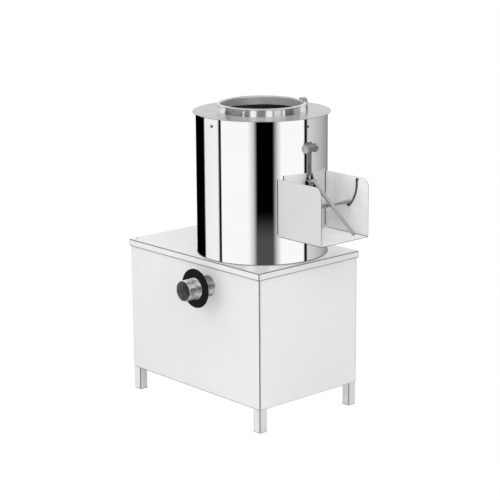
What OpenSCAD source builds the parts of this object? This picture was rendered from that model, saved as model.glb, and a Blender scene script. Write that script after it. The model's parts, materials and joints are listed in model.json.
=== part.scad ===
// Electric potato peeler, 15 kg class: a steel drum on a cabinet, with a belt-driven abrasive disc,
// a loading collar on top, a discharge door with a chute on the right and a drain pipe in front.
// Millimetres, +Z up. The origin is on the floor, under the middle of the whole machine's box.

/* [Table and cabinet] */
// Length of the table top, left to right
table_l = 612; // [560:1:700]
// Width of the table top, front to back
table_w = 416; // [405:1:480]
// Height of the table top above the floor
table_h = 495; // [460:1:560]
// Depth of the turned-down edge of the table top
edge_h = 21.5; // [15:0.5:28]
// Thickness of the cabinet sheet
sheet_t = 1.2; // [0.8:0.1:2]
// How far the table top stands out over the cabinet
overhang = 5; // [3:0.5:10]
// Free height under the cabinet
floor_gap = 73; // [60:1:100]
// Side of the square leg tube
leg_w = 28; // [25:1:35]
// Wall of the leg tube
leg_wall = 1.5; // [1:0.1:2.5]
// Side of the frame's angle bars
rail_w = 25; // [20:1:30]
// Thickness of the frame's angle bars
rail_t = 3; // [2:0.5:4]

/* [Drum] */
// Outer diameter of the drum
drum_d = 400; // [380:1:404]
// Height of the drum
drum_h = 432; // [410:1:500]
// Thickness of the drum sheet
drum_t = 1.5; // [1:0.1:2.5]
// Distance of the drum's axis from the right edge of the table top
drum_right = 216; // [212:1:240]
// How far the drum's axis lies behind the middle of the table top
drum_back = 3; // [0:0.5:6]
// Thickness of the abrasive lining
liner_t = 3.5; // [2:0.1:6]
// Height of the four cover screws below the top of the drum
screw_drop = 24; // [18:1:30]

/* [Cover and collar] */
// Diameter of the top plate
plate_d = 419; // [405:1:425]
// Thickness of the top plate
plate_t = 2; // [1.5:0.1:3]
// Inner diameter of the loading collar
collar_d = 251.4; // [220:0.2:280]
// Height of the collar above the top plate
collar_h = 25; // [20:1:45]
// Thickness of the collar between its inner and outer wall
collar_wall = 6.8; // [5:0.1:10]
// How far the rolled rim stands out over the outer wall
rim_lip = 3.2; // [2:0.1:5]

/* [Door and chute] */
// Outer width of the chute
chute_w = 195; // [180:1:210]
// Reach of the chute from the drum's axis
chute_reach = 357.6; // [330:0.2:380]
// Height of the chute's underside above the table top
chute_z = 85.3; // [80:0.1:95]
// Height of the chute's side walls, floor included
chute_h = 175.2; // [165:0.2:190]
// Thickness of the chute sheet
chute_t = 1.5; // [1:0.1:2]
// Radius of the chute walls' upper front corner
chute_r = 25; // [15:1:35]
// Width of the discharge opening
opening_w = 144; // [130:1:150]
// Height of the discharge opening
opening_h = 162; // [150:1:165]
// Width of the door
door_w = 168; // [160:1:176]
// Thickness of the door sheet
door_t = 2; // [1.5:0.1:3]
// Height of the door's top edge over the chute's side walls
door_rise = 10; // [8:0.5:14]
// Height of the hinge bolt above the table top
hinge_z = 345; // [335:1:355]
// Distance of the hinge bolt from the drum's surface
hinge_out = 12; // [12:0.5:16]
// Height of the handle's pivot bolt above the table top
pivot_z = 242; // [238:0.5:248]
// Length of the handle rod
rod_l = 214; // [190:1:230]
// Diameter of the handle rod and the cross bar
rod_d = 12; // [10:0.5:14]
// Slope of the handle below the level
rod_slope = 38.1; // [34:0.1:42]
// Distance of the cross bar from the pivot bolt
bar_reach = 87.8; // [80:0.2:95]
// Slope of the line from the pivot bolt to the cross bar
bar_slope = 42.2; // [40:0.1:46]

/* [Drain] */
// Outer diameter of the drain pipe
pipe_d = 66; // [60:0.5:70]
// Wall of the drain pipe
pipe_t = 2.5; // [1.5:0.1:3]
// How far the drain pipe stands out of the front panel
pipe_out = 98; // [85:1:110]
// Depth of the drain pipe's axis below the table top
pipe_drop = 80; // [76:1:90]
// Distance of the drain pipe's axis left of the drum's axis
pipe_left = 19; // [10:1:30]
// Diameter of the rubber flange
flange_d = 120; // [100:1:130]
// Distance of the rubber flange's middle from the front panel
flange_out = 50.4; // [40:0.2:60]

/* [Water inlet] */
// Outer diameter of the water tube
water_d = 8; // [6:0.5:9]
// Outer diameter of the hose stub
stub_d = 12; // [11:0.5:14]
// Direction of the spout, from the right round to the back
spout_angle = 64; // [55:1:75]

/* [Drive] */
// Pitch diameter of the driven pulley
big_pitch_d = 250; // [220:1:260]
// Pitch diameter of the motor pulley
small_pitch_d = 62.5; // [58:0.5:75]
// Diameter of the spindle in its bearings
spindle_d = 30; // [28:1:32]
// Diameter of the spindle in the pulley and the disc
spindle_end_d = 25; // [22:1:26]
// Diameter of the motor shaft
shaft_d = 19; // [16:1:24]
// Diameter of the motor housing without its fins
motor_d = 140; // [130:1:145]
// Width of the gap between the disc and the lining
disc_gap = 6; // [4:0.5:8]

/* [Starter box] */
// Width of the starter box
box_w = 84; // [75:1:100]
// Height of the starter box
box_h = 124; // [110:1:140]
// Depth of the starter box
box_d = 52; // [45:1:60]
// Travel of the push buttons
press = 4; // [2:0.5:5]

/* [Hidden] */
$fn = 72;

eps = 0.02;          // what a cut runs past the face that it opens
slip = 0.05;         // radial clearance of a running fit
seat = 0.2;          // clearance between curved faces that lie on each other
hole_gap = 0.3;      // radial clearance of a screw in its hole

// cabinet, measured from the drum's axis
table_x0 = drum_right - table_l;
table_x1 = drum_right;
table_y0 = -(table_w / 2 + drum_back);
table_y1 = table_y0 + table_w;
cab_x0 = table_x0 + overhang;
cab_x1 = table_x1 - overhang;
cab_y0 = table_y0 + overhang;
cab_y1 = table_y1 - overhang;
in_x0 = cab_x0 + sheet_t;
in_x1 = cab_x1 - sheet_t;
in_y0 = cab_y0 + sheet_t;
in_y1 = cab_y1 - sheet_t;
table_under = table_h - sheet_t;
plug_t = 3;                                   // flange of a foot plug
rail_top = floor_gap + rail_w;                // top of the lower rails

// drum
drum_r = drum_d / 2;
drum_in = drum_r - drum_t;
drum_top = table_h + drum_h;
liner_out = drum_in - seat;
liner_in = liner_out - liner_t;
plate_top = drum_top + plate_t;
skirt_h = 35;
skirt_t = 1.5;
well_h = 45;                                  // height of the dry well above the table top
pan_t = 2;
screw_z = drum_top - screw_drop;
cover_screw_r = 2.6;

// collar
collar_in = collar_d / 2;
collar_out = collar_in + collar_wall;
rim_out = collar_out + rim_lip;
rim_top = plate_top + collar_h;
collar_sheet = 1.5;

// chute, door and handle
chute_x1 = chute_reach;
chute_z0 = table_h + chute_z;
chute_z1 = chute_z0 + chute_h;
chute_floor = chute_z0 + chute_t;
wall_in = chute_w / 2 - chute_t;
door_top = chute_z1 + door_rise;
door_bottom = chute_floor + 2.7;
opening_z0 = chute_floor + 8.2;
opening_z1 = opening_z0 + opening_h;
gasket_in = drum_r + seat;
door_in = drum_r + 4;
door_out = door_in + door_t;
gasket_out = door_in - seat;
hinge_x = drum_r + hinge_out;
hinge_h = table_h + hinge_z;
hinge_d = 16;                                 // thread of the hinge bolt
sleeve_r = hinge_out - 1;
ear_t = 4.5;
ear_in = 11.5;                                // inner face of the hinge ears from the middle
ear_r = 11.5;
pivot_d = 10;                                 // thread of the pivot bolt
eye_r = 9;
eye_w = rod_d + 1;
cheek_t = 3.5;
cheek_in = eye_w / 2 + 0.5;
pivot_x = door_out + eye_r + 1;
pivot_h = table_h + pivot_z;
arm_w = 12;
arm_t = 5;
arm_x0 = door_out + seat;
rod_off = eye_r + 2.5;                        // rod's axis above the line through the pivot
rod_start = 5;
bar_half = wall_in - 4.8;                     // the bar's ends stay clear of the hook rails
bar_along = bar_reach * cos(bar_slope - rod_slope);
bar_off = -bar_reach * sin(bar_slope - rod_slope);
link_t = 6;
hook_t = 4;
hook_r0 = bar_reach + rod_d / 2 + 0.6;
hook_r1 = hook_r0 + 4.2;
hook_top = 5;                                 // angle of the rail's upper end above the level
pad_t = 6;                                    // welded pad at the rail's upper end
pad_out = 3.5;
toe_angle = bar_slope + asin(rod_d / 2 / bar_reach) + 0.8;
toe_t = 6;
toe_r0 = bar_reach - 9;

// drain
pipe_r = pipe_d / 2;
pipe_in = pipe_r - pipe_t;
pipe_x = -pipe_left;
pipe_z = table_h - pipe_drop;
bend_r = 55;                                  // centre-line radius of the drain pipe's bend
drain_y = -125;                               // place of the drain in the pan
mouth_y = cab_y0 - pipe_out;
flange_t = 4.5;

// drive
motor_flange_r = 80;
belt_top_w = 13;
belt_bottom_w = 7.5;
belt_h = 8;
pitch_depth = 2.8;                            // from the belt's back to its pitch line
groove_gap = 0.3;
small_r = small_pitch_d / 2;
big_r = big_pitch_d / 2;
motor_rail_x = motor_flange_r + 0.5 + rail_w / 2;   // motor rails' middle from the motor's axis
motor_x = in_x0 + leg_w + 1.3 + rail_w / 2 + motor_rail_x;
motor_left = -motor_x;
belt_tilt = asin((big_r - small_r) / motor_left);
spindle_r = spindle_d / 2;
spindle_end_r = spindle_end_d / 2;
shaft_r = shaft_d / 2;
bearing_out = spindle_r + 16;
bearing_h = 16;
housing_r = bearing_out + 11;
housing_flange_r = 80;
housing_flange_t = 12;
housing_top = table_under;
housing_bottom = housing_top - 131.8;
well_in = housing_r - 15;
well_r = well_in + 2.5;
well_top = table_h + well_h;
seal_h = 8;
seal_seat = well_top + 5;                     // height of the spindle's shoulder under the disc
disc_top = chute_floor - 4;
disc_t = 14;
disc_r = liner_in - disc_gap;
disc_z = disc_top - disc_t;
lower_bearing_z = housing_bottom + 5;
upper_bearing_z = housing_top - 10 - bearing_h;
hub_r = 30;
wave_h = 6;
bolt_circle_r = 65;
m8 = 4;

// motor, hung under its plate
belt_z = housing_bottom - 36;
plate_z = belt_z - 26;
middle_z = plate_z - rail_w;
motor_plate_t = 6;
motor_plate_l = 240;
motor_plate_w = 156;
motor_r = motor_d / 2;
motor_flange_t = 12;
upper_shield_z = plate_z - 38;
stator_z = upper_shield_z - 105;
lower_shield_z = stator_z - 20;
fan_cover_z = lower_shield_z - 33;
fin_h = 6;
fin_w = 2.5;
fins = 24;
rail_wall = 2;
neck_r = 54;                                  // upper shield above the flange's nuts
terminal_z = plate_z - 60;                    // top of the terminal box
lead_r = 4;
lead_z = plate_z + 70;
lead_y = -(motor_r + 20);
lead_bend = 20;
rotor_r = 40;
stator_bore = rotor_r + 0.6;
pilot_r = 45;

// starter box
box_z = lead_z - 30;                          // underside of the starter box
box_y = lead_y + 30;                          // middle of the starter box
box_wall = 2.5;
lid_t = 3;
button_r = 11;
stop_r = 14;
start_z = box_z + box_h * 0.70;
stop_z = box_z + box_h * 0.32;
box_x = cab_x0 - box_d;
start_proud = 6;
stop_proud = 9;
collar_lip = 2;                               // how far a button's inner collar stands out round its stem
lip_t = 3;
stem_l = 8;
gland_bore = 4.5;
gland_r = 9;
gland_l = 26;
gland_in = 9;                                 // length of the gland inside the box

// whole box of the machine, from which the place of the drum's axis follows
rod_end_x = pivot_x + (rod_start + rod_l) * cos(rod_slope) + (rod_off + rod_d / 2) * sin(rod_slope);
stub_l = 28;
tube_bend = 9;
tube_t = 1;
spout_l = 12;
run_angle = 138;                              // direction of the tube's run towards the back edge
inlet_r = rim_out + water_d / 2 + 2.8;
inlet_x = inlet_r * cos(spout_angle);
inlet_y = inlet_r * sin(spout_angle);
elbow_r = water_d / 2 + 1.5;                  // ball elbow that lies on the top plate
tube_z = plate_top + elbow_r + seat;
spout_z = rim_top + water_d / 2 + 0.5;
turn_in = run_angle - spout_angle;
stub_start = sqrt(pow(plate_d / 2 + 3, 2) - pow(inlet_r * sin(turn_in), 2)) - inlet_r * cos(turn_in);
inlet_end_y = inlet_y + (stub_start + stub_l) * sin(run_angle) - stub_d / 2 * cos(run_angle);
drum_x = -(rod_end_x + box_x - stop_proud) / 2;
drum_y = -(inlet_end_y + mouth_y) / 2;

steel = [0.80, 0.80, 0.81];
dark_steel = [0.45, 0.46, 0.47];
black = [0.10, 0.10, 0.11];
zinc = [0.66, 0.67, 0.68];
motor_blue = [0.24, 0.33, 0.42];

// ---------- helpers ----------

// puts children, drawn about the drum's axis, in the machine's own frame
module at_drum() { translate([drum_x, drum_y, 0]) children(); }

// puts children, drawn about the motor's axis, in the machine's own frame
module at_motor() { at_drum() translate([motor_x, 0, 0]) children(); }

// block between two corners
module block(x0, x1, y0, y1, z0, z1) { translate([x0, y0, z0]) cube([x1 - x0, y1 - y0, z1 - z0]); }

// upright rod from z0 to z1
module rod(r, z0, z1) { translate([0, 0, z0]) cylinder(r = r, h = z1 - z0); }

// upright ring from z0 to z1
module ring(r_out, r_in, z0, z1) {
    difference() {
        rod(r_out, z0, z1);
        rod(r_in, z0 - eps, z1 + eps);
    }
}

// rod along Y, from y0 to y1, round the line through x and z
module cross_rod(x, z, r, y0, y1) { translate([x, y0, z]) rotate([-90, 0, 0]) cylinder(r = r, h = y1 - y0); }

// rod along X, from x0 to x1
module level_rod(x0, x1, y, z, r) { translate([x0, y, z]) rotate([0, 90, 0]) cylinder(r = r, h = x1 - x0); }

// hexagonal prism along Z, af across its flats
module hex(af, h) { cylinder(r = af / 2 / cos(30), h = h, $fn = 6); }

// bolt along Z: the head's underside is at z = 0 and the shank goes down by grip
module bolt(r, grip, head_af, head_h) {
    hex(head_af, head_h);
    translate([0, 0, -grip]) cylinder(r = r, h = grip + eps);
}

// the part of a ring sector between two angles about the Y axis, in the XZ plane
module sector(r0, r1, from, sweep, y0, y1) {
    translate([0, y1, 0]) rotate([90, -from, 0])
        rotate_extrude(angle = sweep) translate([r0, 0]) square([r1 - r0, y1 - y0]);
}

// angle bar along X with its corner at the origin, flanges towards +Y and -Z
module angle_bar(l) {
    translate([0, 0, -rail_t]) cube([l, rail_w, rail_t]);
    translate([0, 0, -rail_w]) cube([l, rail_t, rail_w - rail_t]);
}

// angle bars between the legs, all round, with their flat on top at z
module rail_ring(z) {
    run_x = in_x1 - in_x0 - 2 * leg_w;
    run_y = in_y1 - in_y0 - 2 * leg_w;
    translate([in_x0 + leg_w, in_y0, z]) angle_bar(run_x);
    translate([in_x1 - leg_w, in_y1, z]) rotate([0, 0, 180]) angle_bar(run_x);
    translate([in_x1, in_y0 + leg_w, z]) rotate([0, 0, 90]) angle_bar(run_y);
    translate([in_x0, in_y1 - leg_w, z]) rotate([0, 0, -90]) angle_bar(run_y);
}

// four copies, one at each corner of the frame; children are drawn towards +X and +Y
module at_corners() {
    for (sx = [0, 1], sy = [0, 1])
        translate([sx == 0 ? in_x0 : in_x1, sy == 0 ? in_y0 : in_y1, 0])
            mirror([sx, 0, 0]) mirror([0, sy, 0]) children();
}

// places of the screws that hold the back panel, [x, z]
function back_screws() = [
    for (x = [in_x0 + leg_w / 2, in_x1 - leg_w / 2],
         z = [floor_gap + 45, (floor_gap + table_h) / 2, table_h - 45]) [x, z]
];

// ---------- cabinet ----------

// places of the two screws at the left end of the table top
function table_screws() = [[table_x0 + 11, table_y0 + 25], [table_x0 + 11, table_y1 - 25]];

module table_top() {
    color(steel) at_drum() difference() {
        block(table_x0, table_x1, table_y0, table_y1, table_h - edge_h, table_h);
        block(table_x0 + sheet_t, table_x1 - sheet_t, table_y0 + sheet_t, table_y1 - sheet_t,
            table_h - edge_h - 1, table_under);
        rod(well_in, table_under - 1, table_h + 1);
        translate([pipe_x, drain_y, 0]) rod(pipe_r + hole_gap, table_under - 1, table_h + 1);
        for (a = [45:90:315]) rotate(a) translate([bolt_circle_r, 0, 0])
            rod(m8 + hole_gap, table_under - 1, table_h + 1);
        for (p = table_screws()) translate([p[0], p[1], 0]) rod(2 + hole_gap, table_under - 1, table_h + 1);
    }
}

module front_panel() {
    color(steel) at_drum() difference() {
        block(cab_x0, cab_x1, cab_y0, in_y0, floor_gap, table_under);
        cross_rod(pipe_x, pipe_z, pipe_r + 0.5, cab_y0 - 1, in_y0 + 1);
    }
}

module right_panel() {
    color(steel) at_drum() block(in_x1, cab_x1, in_y0, in_y1, floor_gap, table_under);
}

// the left panel has a hole through which the motor's lead comes in
module left_panel() {
    color(steel) at_drum() difference() {
        block(cab_x0, in_x0, in_y0, in_y1, floor_gap, table_under);
        level_rod(cab_x0 - 1, in_x0 + 1, lead_y, lead_z, lead_r + hole_gap);
    }
}

module back_panel() {
    slot_l = 70;
    slot_h = 4;
    color(steel) at_drum() difference() {
        block(cab_x0, cab_x1, in_y1, cab_y1, floor_gap, table_under);
        for (side = [-1, 1], i = [0:7])
            translate([(cab_x0 + cab_x1) / 2 + side * 150 - slot_l / 2, in_y1 - 1,
                (floor_gap + table_h) / 2 - 94 + 16 * i]) cube([slot_l, sheet_t + 2, slot_h]);
        for (p = back_screws()) cross_rod(p[0], p[1], 2 + hole_gap, in_y1 - 1, cab_y1 + 1);
    }
}

module leg_tube() {
    difference() {
        block(0, leg_w, 0, leg_w, plug_t, table_under);
        block(leg_wall, leg_w - leg_wall, leg_wall, leg_w - leg_wall, plug_t - 1, table_under + 1);
    }
}

// one leg; side and end are 0 for left and front, 1 for right and back
module leg(side, end) {
    color(steel) at_drum() difference() {
        translate([side == 0 ? in_x0 : in_x1, end == 0 ? in_y0 : in_y1, 0])
            mirror([side, 0, 0]) mirror([0, end, 0]) leg_tube();
        for (p = back_screws()) cross_rod(p[0], p[1], 2 + hole_gap, in_y1 - leg_wall - 1, in_y1 + 1);
    }
}
module leg_front_left() { leg(0, 0); }
module leg_front_right() { leg(1, 0); }
module leg_back_left() { leg(0, 1); }
module leg_back_right() { leg(1, 1); }

// plugs pushed into the lower ends of the legs
module foot_plugs() {
    plug_in = leg_wall + 0.1;
    color(dark_steel) at_drum() at_corners() {
        cube([leg_w, leg_w, plug_t]);
        block(plug_in, leg_w - plug_in, plug_in, leg_w - plug_in, plug_t - eps, 18);
    }
}

// two rings of angle bars between the legs, one under the table top and one above the floor
module frame_rails() {
    color(dark_steel) at_drum() for (z = [table_under, rail_top]) rail_ring(z);
}

// front and back bars that carry the motor rails
module middle_rails() {
    run_x = in_x1 - in_x0 - 2 * leg_w;
    color(dark_steel) at_drum() {
        translate([in_x0 + leg_w, in_y0, middle_z]) angle_bar(run_x);
        translate([in_x1 - leg_w, in_y1, middle_z]) rotate([0, 0, 180]) angle_bar(run_x);
    }
}

// pan-head screws of the back panel and the table top
module sheet_screws() {
    color(zinc) at_drum() {
        for (p = back_screws()) {
            cross_rod(p[0], p[1], 3.8, cab_y1, cab_y1 + 2.2);
            cross_rod(p[0], p[1], 2, cab_y1 - 10, cab_y1 + eps);
        }
        for (p = table_screws()) translate([p[0], p[1], 0]) {
            rod(4, table_h, table_h + 1.6);
            rod(2, table_h - 10, table_h + eps);
        }
    }
}

// ---------- drum ----------

// cuts the discharge opening, grow larger all round
module opening(grow) {
    block(0, drum_r + 20, -opening_w / 2 - grow, opening_w / 2 + grow, opening_z0 - grow, opening_z1 + grow);
}

module cover_screw_holes() {
    for (a = [0:90:270]) rotate(a) translate([drum_r - 12, 0, screw_z]) rotate([0, 90, 0])
        cylinder(r = cover_screw_r + hole_gap, h = 24);
}

module drum_shell() {
    color(steel) at_drum() difference() {
        ring(drum_r, drum_in, table_h, drum_top);
        opening(0);
        cover_screw_holes();
    }
}

module abrasive_liner() {
    color(black) at_drum() difference() {
        ring(liner_out, liner_in, well_top + 1, drum_top - skirt_h - 2);
        opening(0);
    }
}

// round cover with a skirt that goes into the drum
module top_plate() {
    color(steel) at_drum() difference() {
        union() {
            ring(plate_d / 2, collar_in + collar_sheet + seat, drum_top, plate_top);
            ring(liner_out, liner_out - skirt_t, drum_top - skirt_h, drum_top + eps);
        }
        cover_screw_holes();
    }
}

// spun collar: an inner and an outer wall, joined by a rounded rim
module loading_collar() {
    rim_r = (rim_out - collar_in) / 2;
    rim_z = rim_top - rim_r;
    foot = collar_out + 2.4;                   // the outer wall spreads a little towards its foot
    color(steel) at_drum() rotate_extrude($fn = 96) polygon(concat(
        [[collar_in, drum_top], [collar_in + collar_sheet, drum_top]],
        [[collar_in + collar_sheet, rim_z], [collar_out - collar_sheet, rim_z]],
        [[foot - collar_sheet, plate_top], [foot, plate_top], [collar_out, rim_z - 1]],
        [for (a = [0:15:180]) [collar_in + rim_r + rim_r * cos(a), rim_z + rim_r * sin(a)]]
    ));
}

module cover_screws() {
    color(zinc) at_drum() for (a = [0:90:270]) rotate(a) translate([0, 0, screw_z]) rotate([0, 90, 0]) {
        translate([0, 0, drum_r + seat]) cylinder(r = 4.4, h = 2.6);
        translate([0, 0, drum_r - 9]) cylinder(r = cover_screw_r, h = 9 + seat + eps);
    }
}

// bottom plate of the drum, with a dry well round the spindle and the strainer over the drain
module drain_pan() {
    color(steel) at_drum() difference() {
        union() {
            rod(liner_out, table_h, table_h + pan_t);
            rod(well_r, table_h, well_top);
        }
        rod(well_in, table_h - 1, well_top + 1);
        for (a = [45:90:315]) rotate(a) translate([bolt_circle_r, 0, 0])
            rod(m8 + hole_gap, table_h - 1, table_h + pan_t + 1);
        translate([pipe_x, drain_y, 0]) {
            rod(4, table_h - 1, table_h + pan_t + 1);
            for (row = [[12, 6], [23, 12]], i = [0:row[1] - 1]) rotate(360 / row[1] * i)
                translate([row[0], 0, 0]) rod(4, table_h - 1, table_h + pan_t + 1);
        }
    }
}

// ---------- disc and spindle ----------

// turntable with three rounded waves on top and two paddles below
module abrasive_disc() {
    color(black) at_drum() difference() {
        union() {
            rod(disc_r, disc_z, disc_top);
            rod(hub_r, seal_seat + 3, disc_z + eps);
            for (a = [30:120:270]) rotate(a) intersection() {
                level_rod(45, disc_r - 15, 0, disc_top - 8, 8 + wave_h);
                block(0, disc_r, -20, 20, disc_z, disc_top + 20);
            }
            for (a = [90, 270]) rotate(a) block(hub_r + 30, disc_r - 12, -2, 2, well_top + 6, disc_z + eps);
        }
        rod(spindle_end_r + slip, seal_seat, disc_top + 20);
    }
}

module disc_cap_nut() {
    color(zinc) at_drum() difference() {
        union() {
            translate([0, 0, disc_top]) hex(36, 14);
            intersection() {
                translate([0, 0, disc_top + 14 - 6]) sphere(r = 17);
                rod(17, disc_top + 14 - eps, disc_top + 40);
            }
        }
        rod(spindle_end_r + slip, disc_top - 1, disc_top + 16);
    }
}

// stepped shaft: pulley seat, bearing journals, shoulder under the disc and disc seat
module spindle() {
    color(zinc) at_drum() {
        rod(spindle_end_r, belt_z - 22, housing_bottom - 12);
        rod(spindle_r, housing_bottom - 12, seal_seat - 4);
        rod(spindle_r + 2, seal_seat - 4, seal_seat + 3);
        rod(spindle_end_r, seal_seat + 3 - eps, disc_top + 14);
    }
}

// rubber lip seal at the top of the dry well
module shaft_seal() {
    color(black) at_drum() difference() {
        ring(well_in - seat, spindle_r + slip, well_top - seal_h, well_top);
        ring(well_in - 5, spindle_r + 2, well_top - seal_h - 1, well_top - 3);
    }
}

module bearing_housing() {
    color(motor_blue) at_drum() difference() {
        union() {
            rod(housing_flange_r, housing_top - housing_flange_t, housing_top);
            rod(housing_r, housing_bottom, housing_top);
            for (a = [0:90:270]) rotate(a)
                block(0, housing_flange_r - 6, -4, 4, housing_top - 50, housing_top - 1);
        }
        rod(bearing_out - 5, housing_bottom - 1, housing_top + 1);
        rod(bearing_out + slip, housing_bottom - 1, lower_bearing_z + bearing_h);
        rod(bearing_out + slip, upper_bearing_z, housing_top + 1);
        for (a = [45:90:315]) rotate(a) translate([bolt_circle_r, 0, 0])
            rod(m8 + hole_gap, housing_top - housing_flange_t - 1, housing_top + 1);
    }
}

// deep-groove ball bearing: two races with a groove, and nine balls
module ball_bearing(z) {
    race_t = 5;
    mid_r = (spindle_r + bearing_out) / 2;
    ball_r = 4.6;
    color(zinc) at_drum() translate([0, 0, z]) {
        difference() {
            union() {
                ring(bearing_out, bearing_out - race_t, 0, bearing_h);
                ring(spindle_r + slip + race_t, spindle_r + slip, 0, bearing_h);
            }
            translate([0, 0, bearing_h / 2]) rotate_extrude() translate([mid_r, 0]) circle(r = ball_r + 0.1);
        }
        for (i = [0:8]) rotate(40 * i) translate([mid_r, 0, bearing_h / 2]) sphere(r = ball_r);
    }
}
module spindle_bearings() {
    ball_bearing(lower_bearing_z);
    ball_bearing(upper_bearing_z);
}

// M8 bolt with its nut; the head stands on z = 0 and the nut is under what is grip thick
module bolt_and_nut(grip) {
    nut_h = 6.5;
    bolt(m8, grip + nut_h + 3, 13, 5.3);
    translate([0, 0, -grip - nut_h]) difference() {
        hex(13, nut_h);
        translate([0, 0, -1]) cylinder(r = m8 + slip, h = nut_h + 2);
    }
}

// bolts of the bearing housing, of the motor's flange and of the motor plate
module m8_bolts() {
    color(zinc) {
        at_drum() for (a = [45:90:315]) rotate(a) translate([bolt_circle_r, 0, table_h + pan_t])
            bolt_and_nut(pan_t + sheet_t + housing_flange_t);
        at_motor() for (a = [45:90:315]) rotate(a) translate([bolt_circle_r, 0, plate_z + motor_plate_t])
            bolt_and_nut(motor_plate_t + motor_flange_t);
        at_motor() for (side = [-1, 1], y = plate_bolt_y())
            translate([side * motor_rail_x, y, plate_z + motor_plate_t])
                bolt_and_nut(motor_plate_t + rail_wall);
    }
}

// ---------- belt drive ----------

// outline of the belt's cross-section, its back at the given radius
module belt_profile(pitch, grow) {
    back = pitch + pitch_depth + grow;
    front = back - belt_h - 2 * grow;
    half = belt_top_w / 2 + grow;
    half_in = belt_bottom_w / 2 + grow;
    polygon([[back, -half], [back, half], [front, half_in], [front, -half_in]]);
}

// grooved rim of a pulley, from radius r_in outwards
module pulley_rim(pitch, r_in, half) {
    difference() {
        ring(pitch + pitch_depth + 1, r_in, -half, half);
        rotate_extrude($fn = 96) belt_profile(pitch, groove_gap);
        rotate_extrude($fn = 96) translate([pitch + pitch_depth, -belt_top_w / 2 - groove_gap])
            square([4, belt_top_w + 2 * groove_gap]);
    }
}

module driven_pulley() {
    half = 11;
    rim_in = big_r - 13;
    hub = 28;
    color(motor_blue) at_drum() translate([0, 0, belt_z]) difference() {
        union() {
            pulley_rim(big_r, rim_in, half);
            ring(rim_in + eps, hub - eps, -4, 4);
            ring(hub, spindle_end_r + slip, -18, 18);
        }
        for (a = [0:72:288]) rotate(a) translate([(rim_in + hub) / 2, 0, 0]) rod(24, -5, 5);
    }
}

module motor_pulley() {
    color(motor_blue) at_motor() translate([0, 0, belt_z]) difference() {
        union() {
            pulley_rim(small_r, shaft_r + slip, 11);
            ring(18, shaft_r + slip, -11, 17);
        }
    }
}

// belt on both pulleys: two arcs joined by two straight runs
module v_belt() {
    run = motor_left * cos(belt_tilt);
    lap = 1;                                   // each run goes this far into the arcs
    color(black) at_drum() translate([0, 0, belt_z]) {
        rotate(-90 - belt_tilt) rotate_extrude(angle = 180 + 2 * belt_tilt, $fn = 96) belt_profile(big_r, 0);
        translate([motor_x, 0, 0]) rotate(90 + belt_tilt)
            rotate_extrude(angle = 180 - 2 * belt_tilt, $fn = 96) belt_profile(small_r, 0);
        for (side = [-1, 1]) mirror([0, side < 0 ? 1 : 0, 0]) rotate(90 + belt_tilt)
            rotate([90, 0, 0]) mirror([0, 0, 1]) translate([0, 0, -lap])
                linear_extrude(height = run + 2 * lap) belt_profile(big_r, -0.02);
    }
}

// ---------- motor ----------

// two square tubes that lie on the middle rails
module motor_rails() {
    half = rail_w / 2;
    color(dark_steel) at_motor() for (side = [-1, 1]) translate([side * motor_rail_x, 0, middle_z])
        difference() {
            block(-half, half, in_y0, in_y1, 0, rail_w);
            block(rail_wall - half, half - rail_wall, in_y0 - 1, in_y1 + 1, rail_wall, rail_w - rail_wall);
            for (y = plate_bolt_y()) translate([0, y, 0]) rod(m8 + hole_gap, rail_w - 3, rail_w + 1);
        }
}
function plate_bolt_y() = [-motor_plate_w / 2 + 20, motor_plate_w / 2 - 20];

// plate with slots along which the motor is slid to tension the belt
module motor_plate() {
    slot = 9;
    color(dark_steel) at_motor() difference() {
        block(-motor_plate_l / 2, motor_plate_l / 2, -motor_plate_w / 2, motor_plate_w / 2,
            plate_z, plate_z + motor_plate_t);
        rod(pilot_r + hole_gap, plate_z - 1, plate_z + motor_plate_t + 1);
        for (a = [45:90:315]) rotate(a) translate([bolt_circle_r, 0, 0])
            rod(m8 + hole_gap, plate_z - 1, plate_z + motor_plate_t + 1);
        for (side = [-1, 1], y = plate_bolt_y()) translate([side * motor_rail_x, y, plate_z - 1]) {
            for (e = [-1, 1]) translate([e * slot, 0, 0]) cylinder(r = m8 + 0.5, h = motor_plate_t + 2);
            translate([-slot, -m8 - 0.5, 0]) cube([2 * slot, 2 * m8 + 1, motor_plate_t + 2]);
        }
    }
}

// finned motor housing
module motor_housing() {
    color(motor_blue) at_motor() {
        difference() {
            union() {
                rod(motor_r, stator_z, upper_shield_z);
                for (i = [0:fins - 1]) rotate(360 / fins * i)
                    block(motor_r - 2, motor_r + fin_h, -fin_w / 2, fin_w / 2,
                        stator_z + 2, upper_shield_z - 2);
            }
            rod(motor_r - 5, stator_z - 1, upper_shield_z + 1);
        }
    }
}

module motor_stator() {
    color([0.72, 0.42, 0.22]) at_motor() {
        ring(motor_r - 5 - seat, stator_bore, stator_z + 14, upper_shield_z - 14);
        ring(motor_r - 9, stator_bore + 4, stator_z + 3, upper_shield_z - 3);
    }
}

// upper end shield with the mounting flange, its pilot and its bolts
module motor_upper_shield() {
    color(motor_blue) at_motor() difference() {
        union() {
            rod(motor_r - 2, upper_shield_z, upper_shield_z + 8);
            rod(neck_r, upper_shield_z + 8 - eps, plate_z - motor_flange_t + eps);
            rod(motor_flange_r, plate_z - motor_flange_t, plate_z);
            rod(pilot_r, plate_z - eps, plate_z + 3);
        }
        rod(shaft_r + slip, upper_shield_z - 1, plate_z + 4);
        rod(rotor_r, upper_shield_z - 1, upper_shield_z + 12);
        for (a = [45:90:315]) rotate(a) translate([bolt_circle_r, 0, 0])
            rod(m8 + hole_gap, plate_z - motor_flange_t - 1, plate_z + 1);
    }
}

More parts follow.
